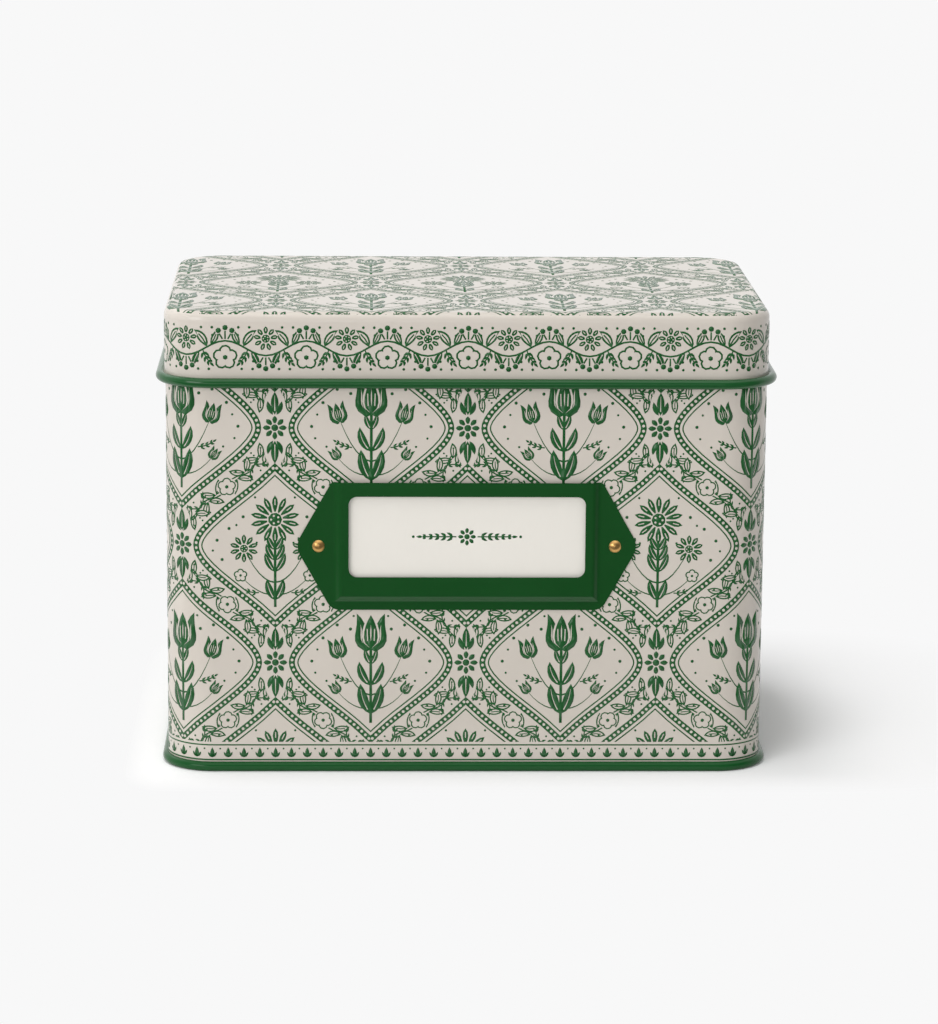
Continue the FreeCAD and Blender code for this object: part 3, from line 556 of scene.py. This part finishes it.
def daisy_sprig():
    """A daisy on a straight stem with pairs of leaves, two small ones and little flowers."""
    drawing = both(stem((0, -10.6), (-8.8, -0.8), -2.4) + stem((0, -14.2), (-9.8, -8.6), -1.6, 0.45))
    drawing += stroke(INKED, [(0, -17.8), (0, 3.4)], 0.75)
    for height, length in ((-7.6, 6.4), (-4.3, 5.6), (-1.2, 4.6)):
        drawing += both(solid_leaf(0, height, 134, length, 1.8, -34, 0.24))
    drawing += both(solid_leaf(0, -15.8, 128, 6.6, 2.2, -34))
    drawing += daisy(0, 7.6, 7.0, 14, 2.0)
    drawing += both(daisy(-8.8, -0.8, 4.1, 10, 1.15))
    drawing += both(line_flower(-9.8, -8.6, 2.0))
    drawing += both(twig(-4.6, -13.6, 186, 3.4, -30, 2, 1.6))
    drawing += dots([(-9.0, 8.4), (-13.0, 5.0), (-16.4, 1.6), (-15.0, -4.0)], 0.5)
    drawing += dots([(-5.6, 14.0), (-10.9, 6.0), (-17.6, -1.4), (-5.2, 0.9)], 0.36)
    return drawing


# The trellis: ogee cells whose sides are cosine waves, set in a half drop

CELL_WIDTH = wall_round.half_round / 5
CELL_HEIGHT = 68.0
HALF_CELL = CELL_WIDTH / 2
HALF_RISE = CELL_HEIGHT / 2

# How far inside the trellis line a cell's beaded band starts and ends, where its fine line lies and
# how wide that is
BAND, RIM, LINE, FINE = 3.8, 5.5, 6.2, 0.38
BEAD_PITCH, BEAD_RADIUS = 1.5, 0.45

# How near the middle an outline runs straight to its tip
STRAIGHT_TIP = 0.3

# The share of a trellis line where its vine starts, and the share that it takes
VINE_START, VINE_SPAN = 0.2, 0.6


def trellis_point(share, out=0.0):
    """A point of a trellis line from a cell's side (share 0) to its tip (share 1), moved inward."""
    across = -HALF_CELL / 2 * math.pi * math.sin(math.pi * share)
    heading = math.degrees(math.atan2(HALF_RISE, across))
    over, up = direction(heading + 90)
    x = HALF_CELL / 2 * (1 + math.cos(math.pi * share))
    return x + out * over, HALF_RISE * share + out * up, heading


def cell_outline(inset, steps=14):
    """The outline of an ogee cell, moved in from the trellis lines."""
    quarter = []
    for index in range(steps + 1):
        x, y, _ = trellis_point(index / steps, inset)
        if x > STRAIGHT_TIP:
            quarter.append((x, y))
    (x0, y0), (x1, y1) = quarter[-2:]
    tip = (0.0, y1 + (y1 - y0) * x1 / (x0 - x1))
    top = quarter + [tip] + [(-x, y) for x, y in quarter[::-1]]
    return top + [(-x, -y) for x, y in top[1:-1]]


def along_outline(outline, pitch):
    """Evenly spaced places round a closed outline, as near to the pitch as they divide it."""
    sides = list(zip(outline, outline[1:] + outline[:1]))
    lengths = [math.dist(first, second) for first, second in sides]
    count = 4 * round(sum(lengths) / pitch / 4)
    step = sum(lengths) / count
    places, walked, target = [], 0.0, step / 2
    for ((x0, y0), (x1, y1)), length in zip(sides, lengths):
        while target <= walked + length and len(places) < count:
            share = (target - walked) / length
            places.append((x0 + (x1 - x0) * share, y0 + (y1 - y0) * share))
            target += step
        walked += length
    return places


def cell_border():
    """A beaded band and a fine line round the field of a cell."""
    drawing = [(INKED, cell_outline(BAND)), (BARE, cell_outline(RIM))]
    for x, y in along_outline(cell_outline((BAND + RIM) / 2, 60), BEAD_PITCH):
        drawing += disc(BARE, x, y, BEAD_RADIUS)
    return drawing + [(INKED, cell_outline(LINE)), (BARE, cell_outline(LINE + FINE))]


def trellis_arm():
    """A vine from the side of a cell to its tip, with leaves on both sides and a flower."""
    vine = []
    for index in range(25):
        share = VINE_START + VINE_SPAN * index / 24
        sway = 0.8 * math.sin(2 * math.pi * 3 * index / 24)
        vine.append(trellis_point(share, sway)[:2])
    drawing = stroke(INKED, vine, 0.4)
    leaf_shares = 0.2, 0.26, 0.32, 0.375, 0.43, 0.57, 0.625, 0.68, 0.74, 0.8
    for index, share in enumerate(leaf_shares):
        x, y, heading = trellis_point(share)
        side = 1 if index % 2 else -1
        if index in (2, 7):
            drawing += twig(x, y, heading + side * 22, 3.6, side * 30, 2, 1.6)
        else:
            drawing += line_leaf(x, y, heading + side * 26, 4.7, 1.95, side * 36)
    x, y, _ = trellis_point(0.5)
    drawing += disc(BARE, x, y, 2.9, 9) + line_flower(x, y, 2.7)
    for index in range(18):
        share = VINE_START + VINE_SPAN * index / 17
        if abs(share - 0.5) > 0.07:
            out = (2.7, -2.9)[index % 2] * (0.8 + 0.2 * math.sin(5.1 * index))
            x, y, _ = trellis_point(share, out)
            drawing += disc(INKED, x, y, 0.31, 5)
    return drawing


def trellis_knot():
    """A rosette where four vines meet, with leaves and dots above and below it."""
    half = stroke(BARE, bow(0, 1.5, 90, 10.5, 0, 6), 6.0, pointed)
    half += solid_leaf(0, 3.7, 90, 6.6, 2.2, 0, 0.3)
    for side in (-1, 1):
        half += solid_leaf(0.5 * side, 3.7, 90 - side * 36, 4.2, 1.4, side * 30, 0)
        for x, y in ((2.6, 9.6), (1.3, 11.6), (3.3, 7.2)):
            half += disc(INKED, x * side, y, 0.3, 5)
    drawing = half + moved(half, rise=-1.0)
    return drawing + disc(BARE, 0, 0, 3.6, 12) + daisy(0, 0, 3.4, 8, 1.0, False)


def trellis(columns, rows):
    """Vines, borders and sprigs for the cells in a range of half columns and half rows.

    The knots count as sprigs, so that no kind has far more faces than the others.
    """
    arms = both(trellis_arm())
    arms = of_kind(arms + moved(arms, rise=-1.0), VINES)
    knots = moved(trellis_knot(), 0, HALF_RISE) + moved(trellis_knot(), HALF_CELL, 0)
    knots = of_kind(knots, SPRIGS)
    border = of_kind(cell_border(), BORDERS)
    sprigs = of_kind(daisy_sprig(), SPRIGS), of_kind(tulip_sprig(), SPRIGS)
    vines, cells = [], []
    for column in range(*columns):
        for row in range(*rows):
            if (column + row) % 2 == 0:
                x, y = column * HALF_CELL, row * HALF_RISE
                vines = moved(arms, x, y) + vines + moved(knots, x, y)
                cells += moved(border, x, y) + moved(sprigs[row % 2], x, y)
    return vines + cells


def of_kind(drawing, kind):
    """A drawing with all its ink of one kind."""
    return [(kind if ink else BARE, outline) for ink, outline in drawing]


def rectangle(left, right, low, high):
    """The outline of an upright rectangle."""
    return [(left, low), (right, low), (right, high), (left, high)]


def foot_border(length, pitch):
    """A row of buds between two lines, from 0 to a length."""
    drawing = []
    for low, high in ((0.0, 0.45), (4.4, 4.8)):
        drawing.append((INKED, rectangle(-pitch, length + pitch, low, high)))
    for index in range(round(length / pitch) + 1):
        x = index * pitch
        drawing += stroke(INKED, bow(x, 0.9, 90, 3.0, 0, 4), 1.3, early)
        for side in (-1, 1):
            drawing += stroke(INKED, bow(x, 0.9, 90 - 52 * side, 2.1, 30 * side, 3), 0.7, pointed)
        drawing += disc(INKED, x + pitch / 2, 3.5, 0.3, 5)
    return drawing


def skirt_vine(wave, waves):
    """A waving vine with flowers in its bends, leaves between them and berries outside."""
    path = []
    for index in range(-12, 12 * waves + 13):
        s = index * wave / 12
        path.append((s, 2.1 * math.cos(2 * math.pi * s / wave)))
    drawing = stroke(INKED, path, 0.52)
    for index in range(-1, 2 * waves + 1):
        s = (index + 0.5) * wave / 2
        turn = -1 if index % 2 else 1
        drawing += line_leaf(s - 0.6 * turn, 0.4, 90 - 20 * turn, 6.2, 2.5, -38 * turn, 0.5)
        drawing += twig(s + 0.6 * turn, -0.4, 270 - 14 * turn, 4.1, -30 * turn, 3, 2.2)
        drawing += line_leaf(s - 1.6 * turn, 0.9, 90 + 34 * turn, 4.9, 2.0, -20 * turn, 0.46)
        drawing += solid_leaf(s + 1.6 * turn, -0.9, 270 + 36 * turn, 4.8, 1.8, -20 * turn, 0.26)
    for index in range(-1, 2 * waves + 2):
        s = index * wave / 2
        side = -1 if index % 2 else 1
        if side > 0:
            drawing += disc(BARE, s, -2.6, 3.8, 10) + line_flower(s, -2.6, 3.6, 0.54)
        else:
            drawing += disc(BARE, s, 2.7, 3.6, 10) + daisy(s, 2.7, 3.5, 9, 1.2)
        for over, up in ((-1.9, 5.0), (0.0, 5.8), (1.9, 5.0)):
            berry_stem = [(s + 0.4 * over, 2.6 * side), (s + over, (up - 0.4) * side)]
            drawing += stroke(INKED, berry_stem, 0.46)
            for ink, radius in ((BARE, 1.0), (INKED, 0.8)):
                drawing += disc(ink, s + over, up * side, radius, 7)
        for over, up in ((3.7, 5.9), (4.6, -5.9), (3.5, 3.7)):
            for way in (-1, 1):
                drawing += disc(INKED, s + over * way, up * side, 0.42)
    return drawing


def label_ornament():
    """A flower between two leafy twigs, in place of a word."""
    drawing = both(twig(-3.0, 0, 180, 9.6, 0, 5, 2.3))
    drawing += both(disc(INKED, -15.2, 0, 0.42, 8))
    return drawing + daisy(0, 0, 2.6, 8, 0.8, False)


# Ink on the tin: thin closed skins of its own shape

# How far a film stands out from its surface and reaches into it
SKIN = 0.02

# How near two points are one, and how near a line a point counts as on it
SNAP, STRAIGHT = 1e-5, 0.006


def span(outline):
    """The lowest and highest x, and then y, of an outline."""
    xs, ys = zip(*outline)
    return min(xs), max(xs), min(ys), max(ys)


def covers(outline, x, y):
    """Which places an outline goes round."""
    inside = np.zeros(len(x), bool)
    for (x0, y0), (x1, y1) in zip(outline, outline[1:] + outline[:1]):
        if y0 != y1:
            crossing = (y0 > y) != (y1 > y)
            inside ^= crossing & (x < x0 + (y - y0) * (x1 - x0) / (y1 - y0))
    return inside


def kinds_at(places, drawing):
    """What shows of a drawing at each of some places."""
    order = np.argsort(places[:, 0])
    x, y = places[order].T
    shown = np.zeros(len(x), int)
    for kind, outline in drawing:
        left, right, low, high = span(outline)
        first, last = np.searchsorted(x, (left, right))
        near = first + np.flatnonzero((y[first:last] > low) & (y[first:last] < high))
        shown[near[covers(outline, x[near], y[near])]] = kind
    kinds = np.empty_like(shown)
    kinds[order] = shown
    return kinds


def cut_up(corners, edges, drawing):
    """Triangles between given edges, and what shows of a drawing on each."""
    points = [Vector(corner) for corner in corners]
    spots, _, faces = delaunay_2d_cdt(points, edges, [], 0, SNAP, False)[:3]
    triangles = []
    for face in faces:
        for index in range(1, len(face) - 1):
            triangles.append((face[0], face[index], face[index + 1]))
    spots, triangles = np.array(spots), np.array(triangles)
    return spots, triangles, kinds_at(spots[triangles].mean(axis=1), drawing)


def add_ring(corners, edges, outline):
    """Add the corners of a closed outline and the edges between them."""
    first, count = len(corners), len(outline)
    corners.extend(outline)
    edges.extend((first + index, first + (index + 1) % count) for index in range(count))


def borders_between(triangles, kinds):
    """The edges where one kind meets another."""
    ends = np.concatenate([triangles[:, (0, 1)], triangles[:, (1, 2)], triangles[:, (2, 0)]])
    ends.sort(axis=1)
    kinds = np.tile(kinds, 3)
    order = np.lexsort(ends.T)
    paired = (ends[order[1:]] == ends[order[:-1]]).all(axis=1)
    differ = kinds[order[1:]] != kinds[order[:-1]]
    return ends[order[1:]][paired & differ].tolist()


def straightened(borders, spots):
    """Borders without the points that lie on a straight stretch."""
    beside = {}
    for first, second in borders:
        beside.setdefault(first, []).append(second)
        beside.setdefault(second, []).append(first)
    for index in list(beside):
        if len(beside[index]) == 2:
            first, second = beside[index]
            (x0, y0), (x, y), (x1, y1) = spots[first], spots[index], spots[second]
            off = abs((x1 - x0) * (y - y0) - (y1 - y0) * (x - x0))
            if off < STRAIGHT * math.hypot(x1 - x0, y1 - y0) and second not in beside[first]:
                beside[first][beside[first].index(index)] = second
                beside[second][beside[second].index(index)] = first
                del beside[index]
    return [(first, second) for first in beside for second in beside[first] if first < second]


def inked(drawing, window, cuts=()):
    """Flat corners, and the triangles of each kind of ink that shows in a window."""
    left, right, low, high = span(window)
    near = []
    for kind, outline in drawing:
        first_x, last_x, first_y, last_y = span(outline)
        if last_x > left and first_x < right and last_y > low and first_y < high:
            near.append((kind, outline))
    kept_corners, kept_edges = [], []
    for outline in (window, *cuts):
        add_ring(kept_corners, kept_edges, outline)
    corners, edges = list(kept_corners), list(kept_edges)
    for _, outline in near:
        add_ring(corners, edges, outline)
    spots, triangles, kinds = cut_up(corners, edges, near)
    spots = spots.tolist()
    borders = straightened(borders_between(triangles, kinds), spots)
    corners, edges, numbers = list(kept_corners), list(kept_edges), {}
    for pair in borders:
        for index in pair:
            if index not in numbers:
                numbers[index] = len(corners)
                corners.append(spots[index])
        edges.append((numbers[pair[0]], numbers[pair[1]]))
    spots, triangles, kinds = cut_up(corners, edges, near)
    kinds[~covers(window, *spots[triangles].mean(axis=1).T)] = BARE
    found = {}
    for kind in set(kinds.tolist()) - {BARE}:
        found[kind] = triangles[kinds == kind].tolist()
    return spots.tolist(), found


def both_halves(spots, triangles, lay):
    """A sheet and its mirror image."""
    mirror_spots = [(-x, y) for x, y in spots]
    mirror_triangles = [triangle[::-1] for triangle in triangles]
    return [(spots, triangles, lay), (mirror_spots, mirror_triangles, lay)]


def film(name, body, made, sheets):
    """A closed skin half sunk in its surface, of sheets: flat corners, triangles and how they lie."""
    points, known, faces, flats = [], {}, [], []
    for corners, triangles, lay in sheets:
        numbers = {}
        for triangle in triangles:
            for corner in triangle:
                if corner not in numbers:
                    spot, out = lay(*corners[corner])
                    key = tuple(round(part, 3) + 0.0 for part in spot)
                    if key not in known:
                        known[key] = len(points)
                        points.append((spot, out))
                    numbers[corner] = known[key]
            face = [numbers[corner] for corner in triangle]
            if len(set(face)) == 3:
                faces.append(face)
                flats.append([corners[corner] for corner in triangle])
    count = len(points)
    vertices = [(spot + skin * out) * MM for skin in (SKIN, -SKIN) for spot, out in points]
    inner = [[corner + count for corner in reversed(face)] for face in faces]
    rims = {}
    for face, flat in zip(faces, flats):
        for index in range(3):
            after = (index + 1) % 3
            rims[face[index], face[after]] = flat[index], flat[after]
    rims = {rim: ends for rim, ends in rims.items() if rim[::-1] not in rims}
    walls = [[second, first, first + count, second + count] for first, second in rims]
    piece = new_piece(name, vertices, faces + inner + walls, made)
    smooth = [True] * (2 * len(faces)) + [False] * len(walls)
    piece.data.polygons.foreach_set("use_smooth", smooth)
    chart = piece.data.uv_layers.new(name="OFBake")
    chart.data.foreach_set("uv", film_chart(flats, rims.values()))
    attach(piece, body)


def new_piece(name, vertices, faces, made):
    """A mesh with one material, in the scene."""
    mesh = bpy.data.meshes.new(name)
    mesh.from_pydata(vertices, [], faces)
    mesh.materials.append(made)
    return in_scene(name, mesh)


def in_scene(name, data):
    """An object in the scene that shows a mesh, a light or a camera."""
    made = bpy.data.objects.new(name, data)
    bpy.context.scene.collection.objects.link(made)
    return made


# A film's map: its margin, the width and height of each half, how far up the upper half lies, and the
# width of the walls' strips in millimetres of the film
CHART_MARGIN, CHART_WIDTH, CHART_HEIGHT, CHART_LIFT = 0.01, 0.98, 0.47, 0.5
WALL_STRIP = 0.1


def film_chart(flats, rims):
    """A map of a film: outer faces and walls in its lower half, inner faces in its upper half."""
    left, right, low, high = span([spot for flat in flats for spot in flat])
    numbers = []

    def place(spots, lift=0.0):
        for x, y in spots:
            numbers.append(CHART_MARGIN + CHART_WIDTH * (x - left) / (right - left))
            numbers.append(lift + CHART_MARGIN + CHART_HEIGHT * (y - low) / (high - low))

    for flat in flats:
        place(flat)
    for flat in flats:
        place(reversed(flat), CHART_LIFT)
    for (x0, y0), (x1, y1) in rims:
        length = math.hypot(x1 - x0, y1 - y0)
        over, up = WALL_STRIP * (y1 - y0) / length, WALL_STRIP * (x0 - x1) / length
        place(((x1, y1), (x0, y0), (x0 + over, y0 + up), (x1 + over, y1 + up)))
    return numbers


# The wall's print: where it starts, the height of its row of buds, the gap above that and its top
PRINT_FOOT, FOOT_HEIGHT, FOOT_GAP, PRINT_SHOULDER = 3.0, 4.8, 0.7, 111.4
FOOT_BUDS = 60

# The middle of the label, the ornament's rise above it, and its reach to each side and up and down
LABEL_HEIGHT, ORNAMENT_RISE = 65.9, 2.8
ORNAMENT_REACH = 20, 6

# The lid's print: the middle of its skirt, half its height, its waves, its lap over the round edge and
# the lines that divide that lap
SKIRT_MIDDLE, SKIRT_HALF, SKIRT_WAVES = 122.6, 6.6, 12
TOP_PAST, TOP_CUTS = 1.9, 4


def inked_side(drawing, surface, low, high):
    """What shows of a drawing on half the way round a surface between two heights."""
    window = rectangle(0, surface.half_round, low, high)
    return inked(drawing, window, surface.cuts(low, high))


def print_body(ink_made):
    """Flowers in a trellis all round the wall, over a row of buds at its foot."""
    half = wall_round.half_round
    top = PRINT_FOOT + FOOT_HEIGHT
    drawing = moved(trellis((-1, 12), (-2, 3)), 0, LABEL_HEIGHT)
    spots, found = inked_side(drawing, wall_round, top + FOOT_GAP, PRINT_SHOULDER)
    for kind, name in ((VINES, "vines"), (BORDERS, "borders"), (SPRIGS, "sprigs")):
        sheets = both_halves(spots, found[kind], wall_round.lay)
        if kind == BORDERS:
            foot = moved(foot_border(half, half / FOOT_BUDS), 0, PRINT_FOOT)
            foot_spots, foot_found = inked_side(foot, wall_round, PRINT_FOOT, top)
            sheets += both_halves(foot_spots, foot_found[INKED], wall_round.lay)
        film(f"body_print_{name}", "case", ink_made, sheets)


def print_lid(ink_made):
    """A flowering vine round the skirt of the lid, and the trellis on its top and round edge."""
    low, high = SKIRT_MIDDLE - SKIRT_HALF, SKIRT_MIDDLE + SKIRT_HALF
    vine = moved(skirt_vine(lid_round.half_round / SKIRT_WAVES, SKIRT_WAVES), 0, SKIRT_MIDDLE)
    spots, found = inked_side(vine, lid_round, low, high)
    skirt = both_halves(spots, found[INKED], lid_round.lay)
    film("lid_print_skirt", "lid", ink_made, skirt)
    drawing = of_kind(trellis((-1, 5), (-2, 3)), INKED)
    cuts = [top_outline(TOP_PAST * index / TOP_CUTS) for index in range(TOP_CUTS)]
    spots, found = inked(drawing, top_outline(TOP_PAST), cuts)
    top = both_halves(spots, found[INKED], lay_top)
    film("lid_print_top", "lid", ink_made, top)


def print_label(ink_made):
    """A small ornament in the middle of the label card."""
    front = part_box("label_card")[0].y / MM
    reach, rise = ORNAMENT_REACH
    spots, found = inked(label_ornament(), rectangle(-reach, reach, -rise, rise))
    spots = [(x, y + LABEL_HEIGHT + ORNAMENT_RISE) for x, y in spots]
    sheet = (spots, found[INKED], lambda x, z: (Vector((x, front, z)), Vector((0, -1, 0))))
    film("label_print", "label_card", ink_made, [sheet])


# Loose cards behind the dividers

CARDS_IN_STACK, CARD_CORNER, CARD_CORNER_STEPS = 20, 3.0, 4

# The room beside a stack, how much narrower and lower a card may be, how far aside it may lie, the
# gap before each card, and its thickness at least and at most, as a share of the pitch
STACK_ROOM, NARROWER, LOWER, ASIDE = 0.9, 0.5, 0.55, 0.5
CARD_GAP, THINNEST, THICKEST = 0.02, 0.72, 0.9


def card_stack(index, made):
    """Cards one behind the other, cut a little unevenly and not quite in line."""
    name = f"recipe_cards_{index}"
    low, high = (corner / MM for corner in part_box(name))
    draw = random.Random(index)
    vertices, faces = [], []
    pitch = (high.y - low.y) / CARDS_IN_STACK
    for number in range(CARDS_IN_STACK):
        half_width = high.x - STACK_ROOM - draw.uniform(0.0, NARROWER)
        half_height = (high.z - low.z) / 2 - draw.uniform(0.0, LOWER)
        shift = draw.uniform(-ASIDE, ASIDE)
        front = low.y + pitch * number + CARD_GAP
        outline = rounded(half_width, half_height, CARD_CORNER, CARD_CORNER_STEPS)
        first, count = len(vertices), len(outline)
        for depth in (front, front + pitch * draw.uniform(THINNEST, THICKEST)):
            for x, z in outline:
                vertices.append(Vector((x + shift, depth, low.z + half_height + z)) * MM)
        back = first + count
        faces += [list(range(first, back)), list(range(back, back + count))[::-1]]
        for corner in range(count):
            after = (corner + 1) % count
            faces.append([first + after, first + corner, back + corner, back + after])
    piece = new_piece(f"card_stack_{index}", vertices, faces, made)
    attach(piece, f"section_{index}")
    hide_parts(name)


# The pieces and their materials

def paint_node(name, made):
    """Give a CAD piece a material."""
    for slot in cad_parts[name].material_slots:
        slot.material = made


# The tops of the lid's green bead and the base's green rim, how far from the middle of a corner the
# bead begins, and the foot of the dividers' green tabs
BEAD_TOP, RIM_TOP, BEAD_START = 114.6, 5.0, CORNER + LID_GAP + 0.1
TAB_FOOT = 105.4
SECTIONS = 6

corner_middle = Vector((wall_round.front, wall_round.half_depth - wall_round.radius, 0)) * MM
lid_bead = corner_middle, BEAD_START * MM, BEAD_TOP * MM
base_rim = corner_middle, CORNER * MM, RIM_TOP * MM
holder_enamel = enamel("green_enamel_plate", ENAMEL, 0.2, 0.26, True)
tinned = metal("tinned_steel_parts", TIN, 0.22, 0.36, (0.1, 1.0, 1.0))
board = paper("divider_board_sheet", BOARD, 0.05, tab_above=TAB_FOOT * MM)
card_stock = paper("card_paper_sheet", CARD, 0.03, ruled=True)
paint_node("body_wall", lacquer("printed_lacquer_wall", CREAM))
paint_node("lid", lacquer("printed_lacquer_lid", CREAM, lid_bead))
paint_node("base_panel", lacquer("green_lacquer_base", GREEN, base_rim, 0.25, -1.0))
paint_node("label_holder", holder_enamel)
paint_node("label_card", paper("label_paper_slip", PAPER, 0.02))
paint_node("label_rivets", metal("brass_rivets", BRASS, 0.3, 0.4, (1.0, 1.0, 1.0)))
for name in ("hinge_wire", "hinge_strap_left", "hinge_strap_right", "hinge_rivets"):
    paint_node(name, tinned)
for index in range(1, SECTIONS + 1):
    paint_node(f"divider_{index}", board)
    paint_node(f"recipe_cards_{index}", card_stock)
    card_stack(index, card_stock)
green_ink = enamel("green_printing_ink", INK, 0.17, 0.23, False)
print_body(green_ink)
print_lid(green_ink)
print_label(green_ink)


# The floor, the light and the camera

BACKDROP = (0.9387, 0.9387, 0.9400, 1.0)

# The floor's half side and own light, how fast it fades to the backdrop on two sides each, between
# which distances, and where in front it gets dark for gloss
FLOOR_HALF, FLOOR_GLOW = 6.0, 0.14
FADE_RIGHT_BACK, FADE_LEFT_FRONT = (1.0, 1.6, 0.0), (-8.0, -4.5, 0.0)
FADE_START, FADE_END = 0.012, 0.1
DARK_START, DARK_END = -0.08, -0.12

# How strong the room's light is from the left and the right, and what gloss shows in front, above
# and at the far left
ROOM_LEFT, ROOM_RIGHT = 0.78, 0.18
DARK_FRONT, GLOSS_ABOVE, GLOSS_LEFT = 0.14, 1.4, 0.6

# Where the lamps point, and each one's place, its width and height, its power and if it shows in gloss
LAMP_TARGET = Vector((0, 0, 0.06))
SOFTBOXES = {
    "overhead": ((-0.11, -0.02, 1.3), (1.0, 0.26), 5.0, False),
    "overhead_front": ((-0.18, -0.45, 1.25), (0.3, 0.4), 2.7, False),
    "low_front": ((-0.3, -1.7, 0.2), (1.0, 0.3), 1.6, True),
    "left_front": ((-1.0, -1.2, 0.6), (0.8, 0.8), 6.0, True),
    "back_left": ((-0.7, 0.7, 1.0), (0.8, 0.6), 1.0, True),
}


def seen_rays(tree, *kinds):
    """1 for rays from the camera and of some other kinds, and 0 for the rest."""
    ray = add(tree, "ShaderNodeLightPath")
    seen = ray.outputs["Is Camera Ray"]
    for kind in kinds:
        seen = math_node("ADD", seen, ray.outputs[kind], clamp=True)
    return seen


def glowing(tree, kind, colour, strength):
    return add(tree, kind, {"Color": colour, "Strength": strength}).outputs[0]


def mix_shaders(share, first, second):
    return follow("ShaderNodeMixShader", {0: share, 1: first, 2: second}).outputs[0]


def make_floor():
    """A pale floor, shaded near the box and like the backdrop further out, dark in gloss in front."""
    made, shader, places = new_material("floor", 0.0)
    tree = made.node_tree
    feed(shader, "Base Color", (0.9, 0.9, 0.9, 1.0))
    feed(shader, "Roughness", 1.0)
    feed(shader, "Emission Color", BACKDROP)
    seen = seen_rays(tree, "Is Glossy Ray", "Is Transmission Ray")
    feed(shader, "Emission Strength", math_node("MULTIPLY", seen, FLOOR_GLOW))
    spot = places["Object"]
    half = Vector((HALF_WIDTH, HALF_DEPTH, 0)) * MM
    right_back = vector_node("MULTIPLY", vector_node("SUBTRACT", spot, half), FADE_RIGHT_BACK)
    left_front = vector_node("MULTIPLY", vector_node("ADD", spot, half), FADE_LEFT_FRONT)
    beyond = vector_node("MAXIMUM", right_back, left_front)
    distance = vector_node("LENGTH", vector_node("MAXIMUM", beyond, (0, 0, 0)))
    share = math_node("MULTIPLY", ramp(distance, FADE_START, FADE_END), seen)
    backdrop = glowing(tree, "ShaderNodeEmission", BACKDROP, 1.0)
    mixed = mix_shaders(share, shader.outputs[0], backdrop)
    front = ramp(axis(spot, "Y"), DARK_START, DARK_END)
    glossy = add(tree, "ShaderNodeLightPath").outputs["Is Glossy Ray"]
    dark = glowing(tree, "ShaderNodeEmission", BACKDROP, DARK_FRONT)
    mixed = mix_shaders(math_node("MULTIPLY", front, glossy), mixed, dark)
    feed(tree.nodes["Material Output"], "Surface", mixed)
    corners = rectangle(-FLOOR_HALF, FLOOR_HALF, -FLOOR_HALF, FLOOR_HALF)
    floor = new_piece("floor", [(x, y, 0) for x, y in corners], [(0, 1, 2, 3)], made)


def make_world():
    """A room that is brighter at the left, and a backdrop that shows in gloss behind the box."""
    world = bpy.data.worlds.new("studio")
    bpy.context.scene.world = world
    world.use_nodes = True
    tree = world.node_tree
    tree.nodes.clear()
    glossy = add(tree, "ShaderNodeLightPath").outputs["Is Glossy Ray"]
    way = add(tree, "ShaderNodeTexCoord").outputs["Generated"]
    rightward = ramp(axis(way, "X"), -0.6, 0.6)
    far_left = ramp(axis(way, "X"), -0.75, -0.97)
    upward = ramp(axis(way, "Z"), 0.6, 0.95)
    backward = ramp(axis(way, "Y"), -0.3, 0.3)
    strength = mix_numbers(rightward, ROOM_LEFT, ROOM_RIGHT)
    gloss = mix_numbers(far_left, DARK_FRONT, GLOSS_LEFT)
    gloss = mix_numbers(upward, gloss, GLOSS_ABOVE)
    strength = mix_numbers(glossy, strength, gloss)
    room = glowing(tree, "ShaderNodeBackground", (1.0, 1.0, 1.0, 1.0), strength)
    backdrop = glowing(tree, "ShaderNodeBackground", BACKDROP, 1.0)
    behind = math_node("MULTIPLY", backward, glossy)
    share = math_node("MAXIMUM", seen_rays(tree, "Is Transmission Ray"), behind)
    output = add(tree, "ShaderNodeOutputWorld")
    feed(output, "Surface", mix_shaders(share, room, backdrop))


def make_softbox(name, place, size, power, in_gloss):
    light = bpy.data.lights.new(name, "AREA")
    light.shape = "RECTANGLE"
    light.size, light.size_y = size
    light.energy = power
    lamp = in_scene(name, light)
    lamp.location = place
    lamp.visible_glossy = in_gloss
    lamp.rotation_euler = (LAMP_TARGET - Vector(place)).to_track_quat("-Z", "Y").to_euler()


def make_camera():
    """A long lens in front of the box and a little above it, looking slightly to its right."""
    yaw, pitch, roll = 0.0289, 0.2094, 0.0078
    data = bpy.data.cameras.new("camera")
    data.sensor_fit = "VERTICAL"
    data.sensor_height = 36.0
    data.lens = 136.86
    camera = in_scene("camera", data)
    stand = Matrix.Translation(Vector((-30.59, -1132.40, 304.63)) * MM)
    for angle, name in ((-yaw, "Z"), (math.pi / 2 - pitch, "X"), (roll, "Z")):
        stand @= Matrix.Rotation(angle, 4, name)
    camera.matrix_world = stand
    bpy.context.scene.camera = camera


make_floor()
make_world()
for name, settings in SOFTBOXES.items():
    make_softbox(name, *settings)
make_camera()
bpy.context.scene.view_settings.view_transform = "Standard"
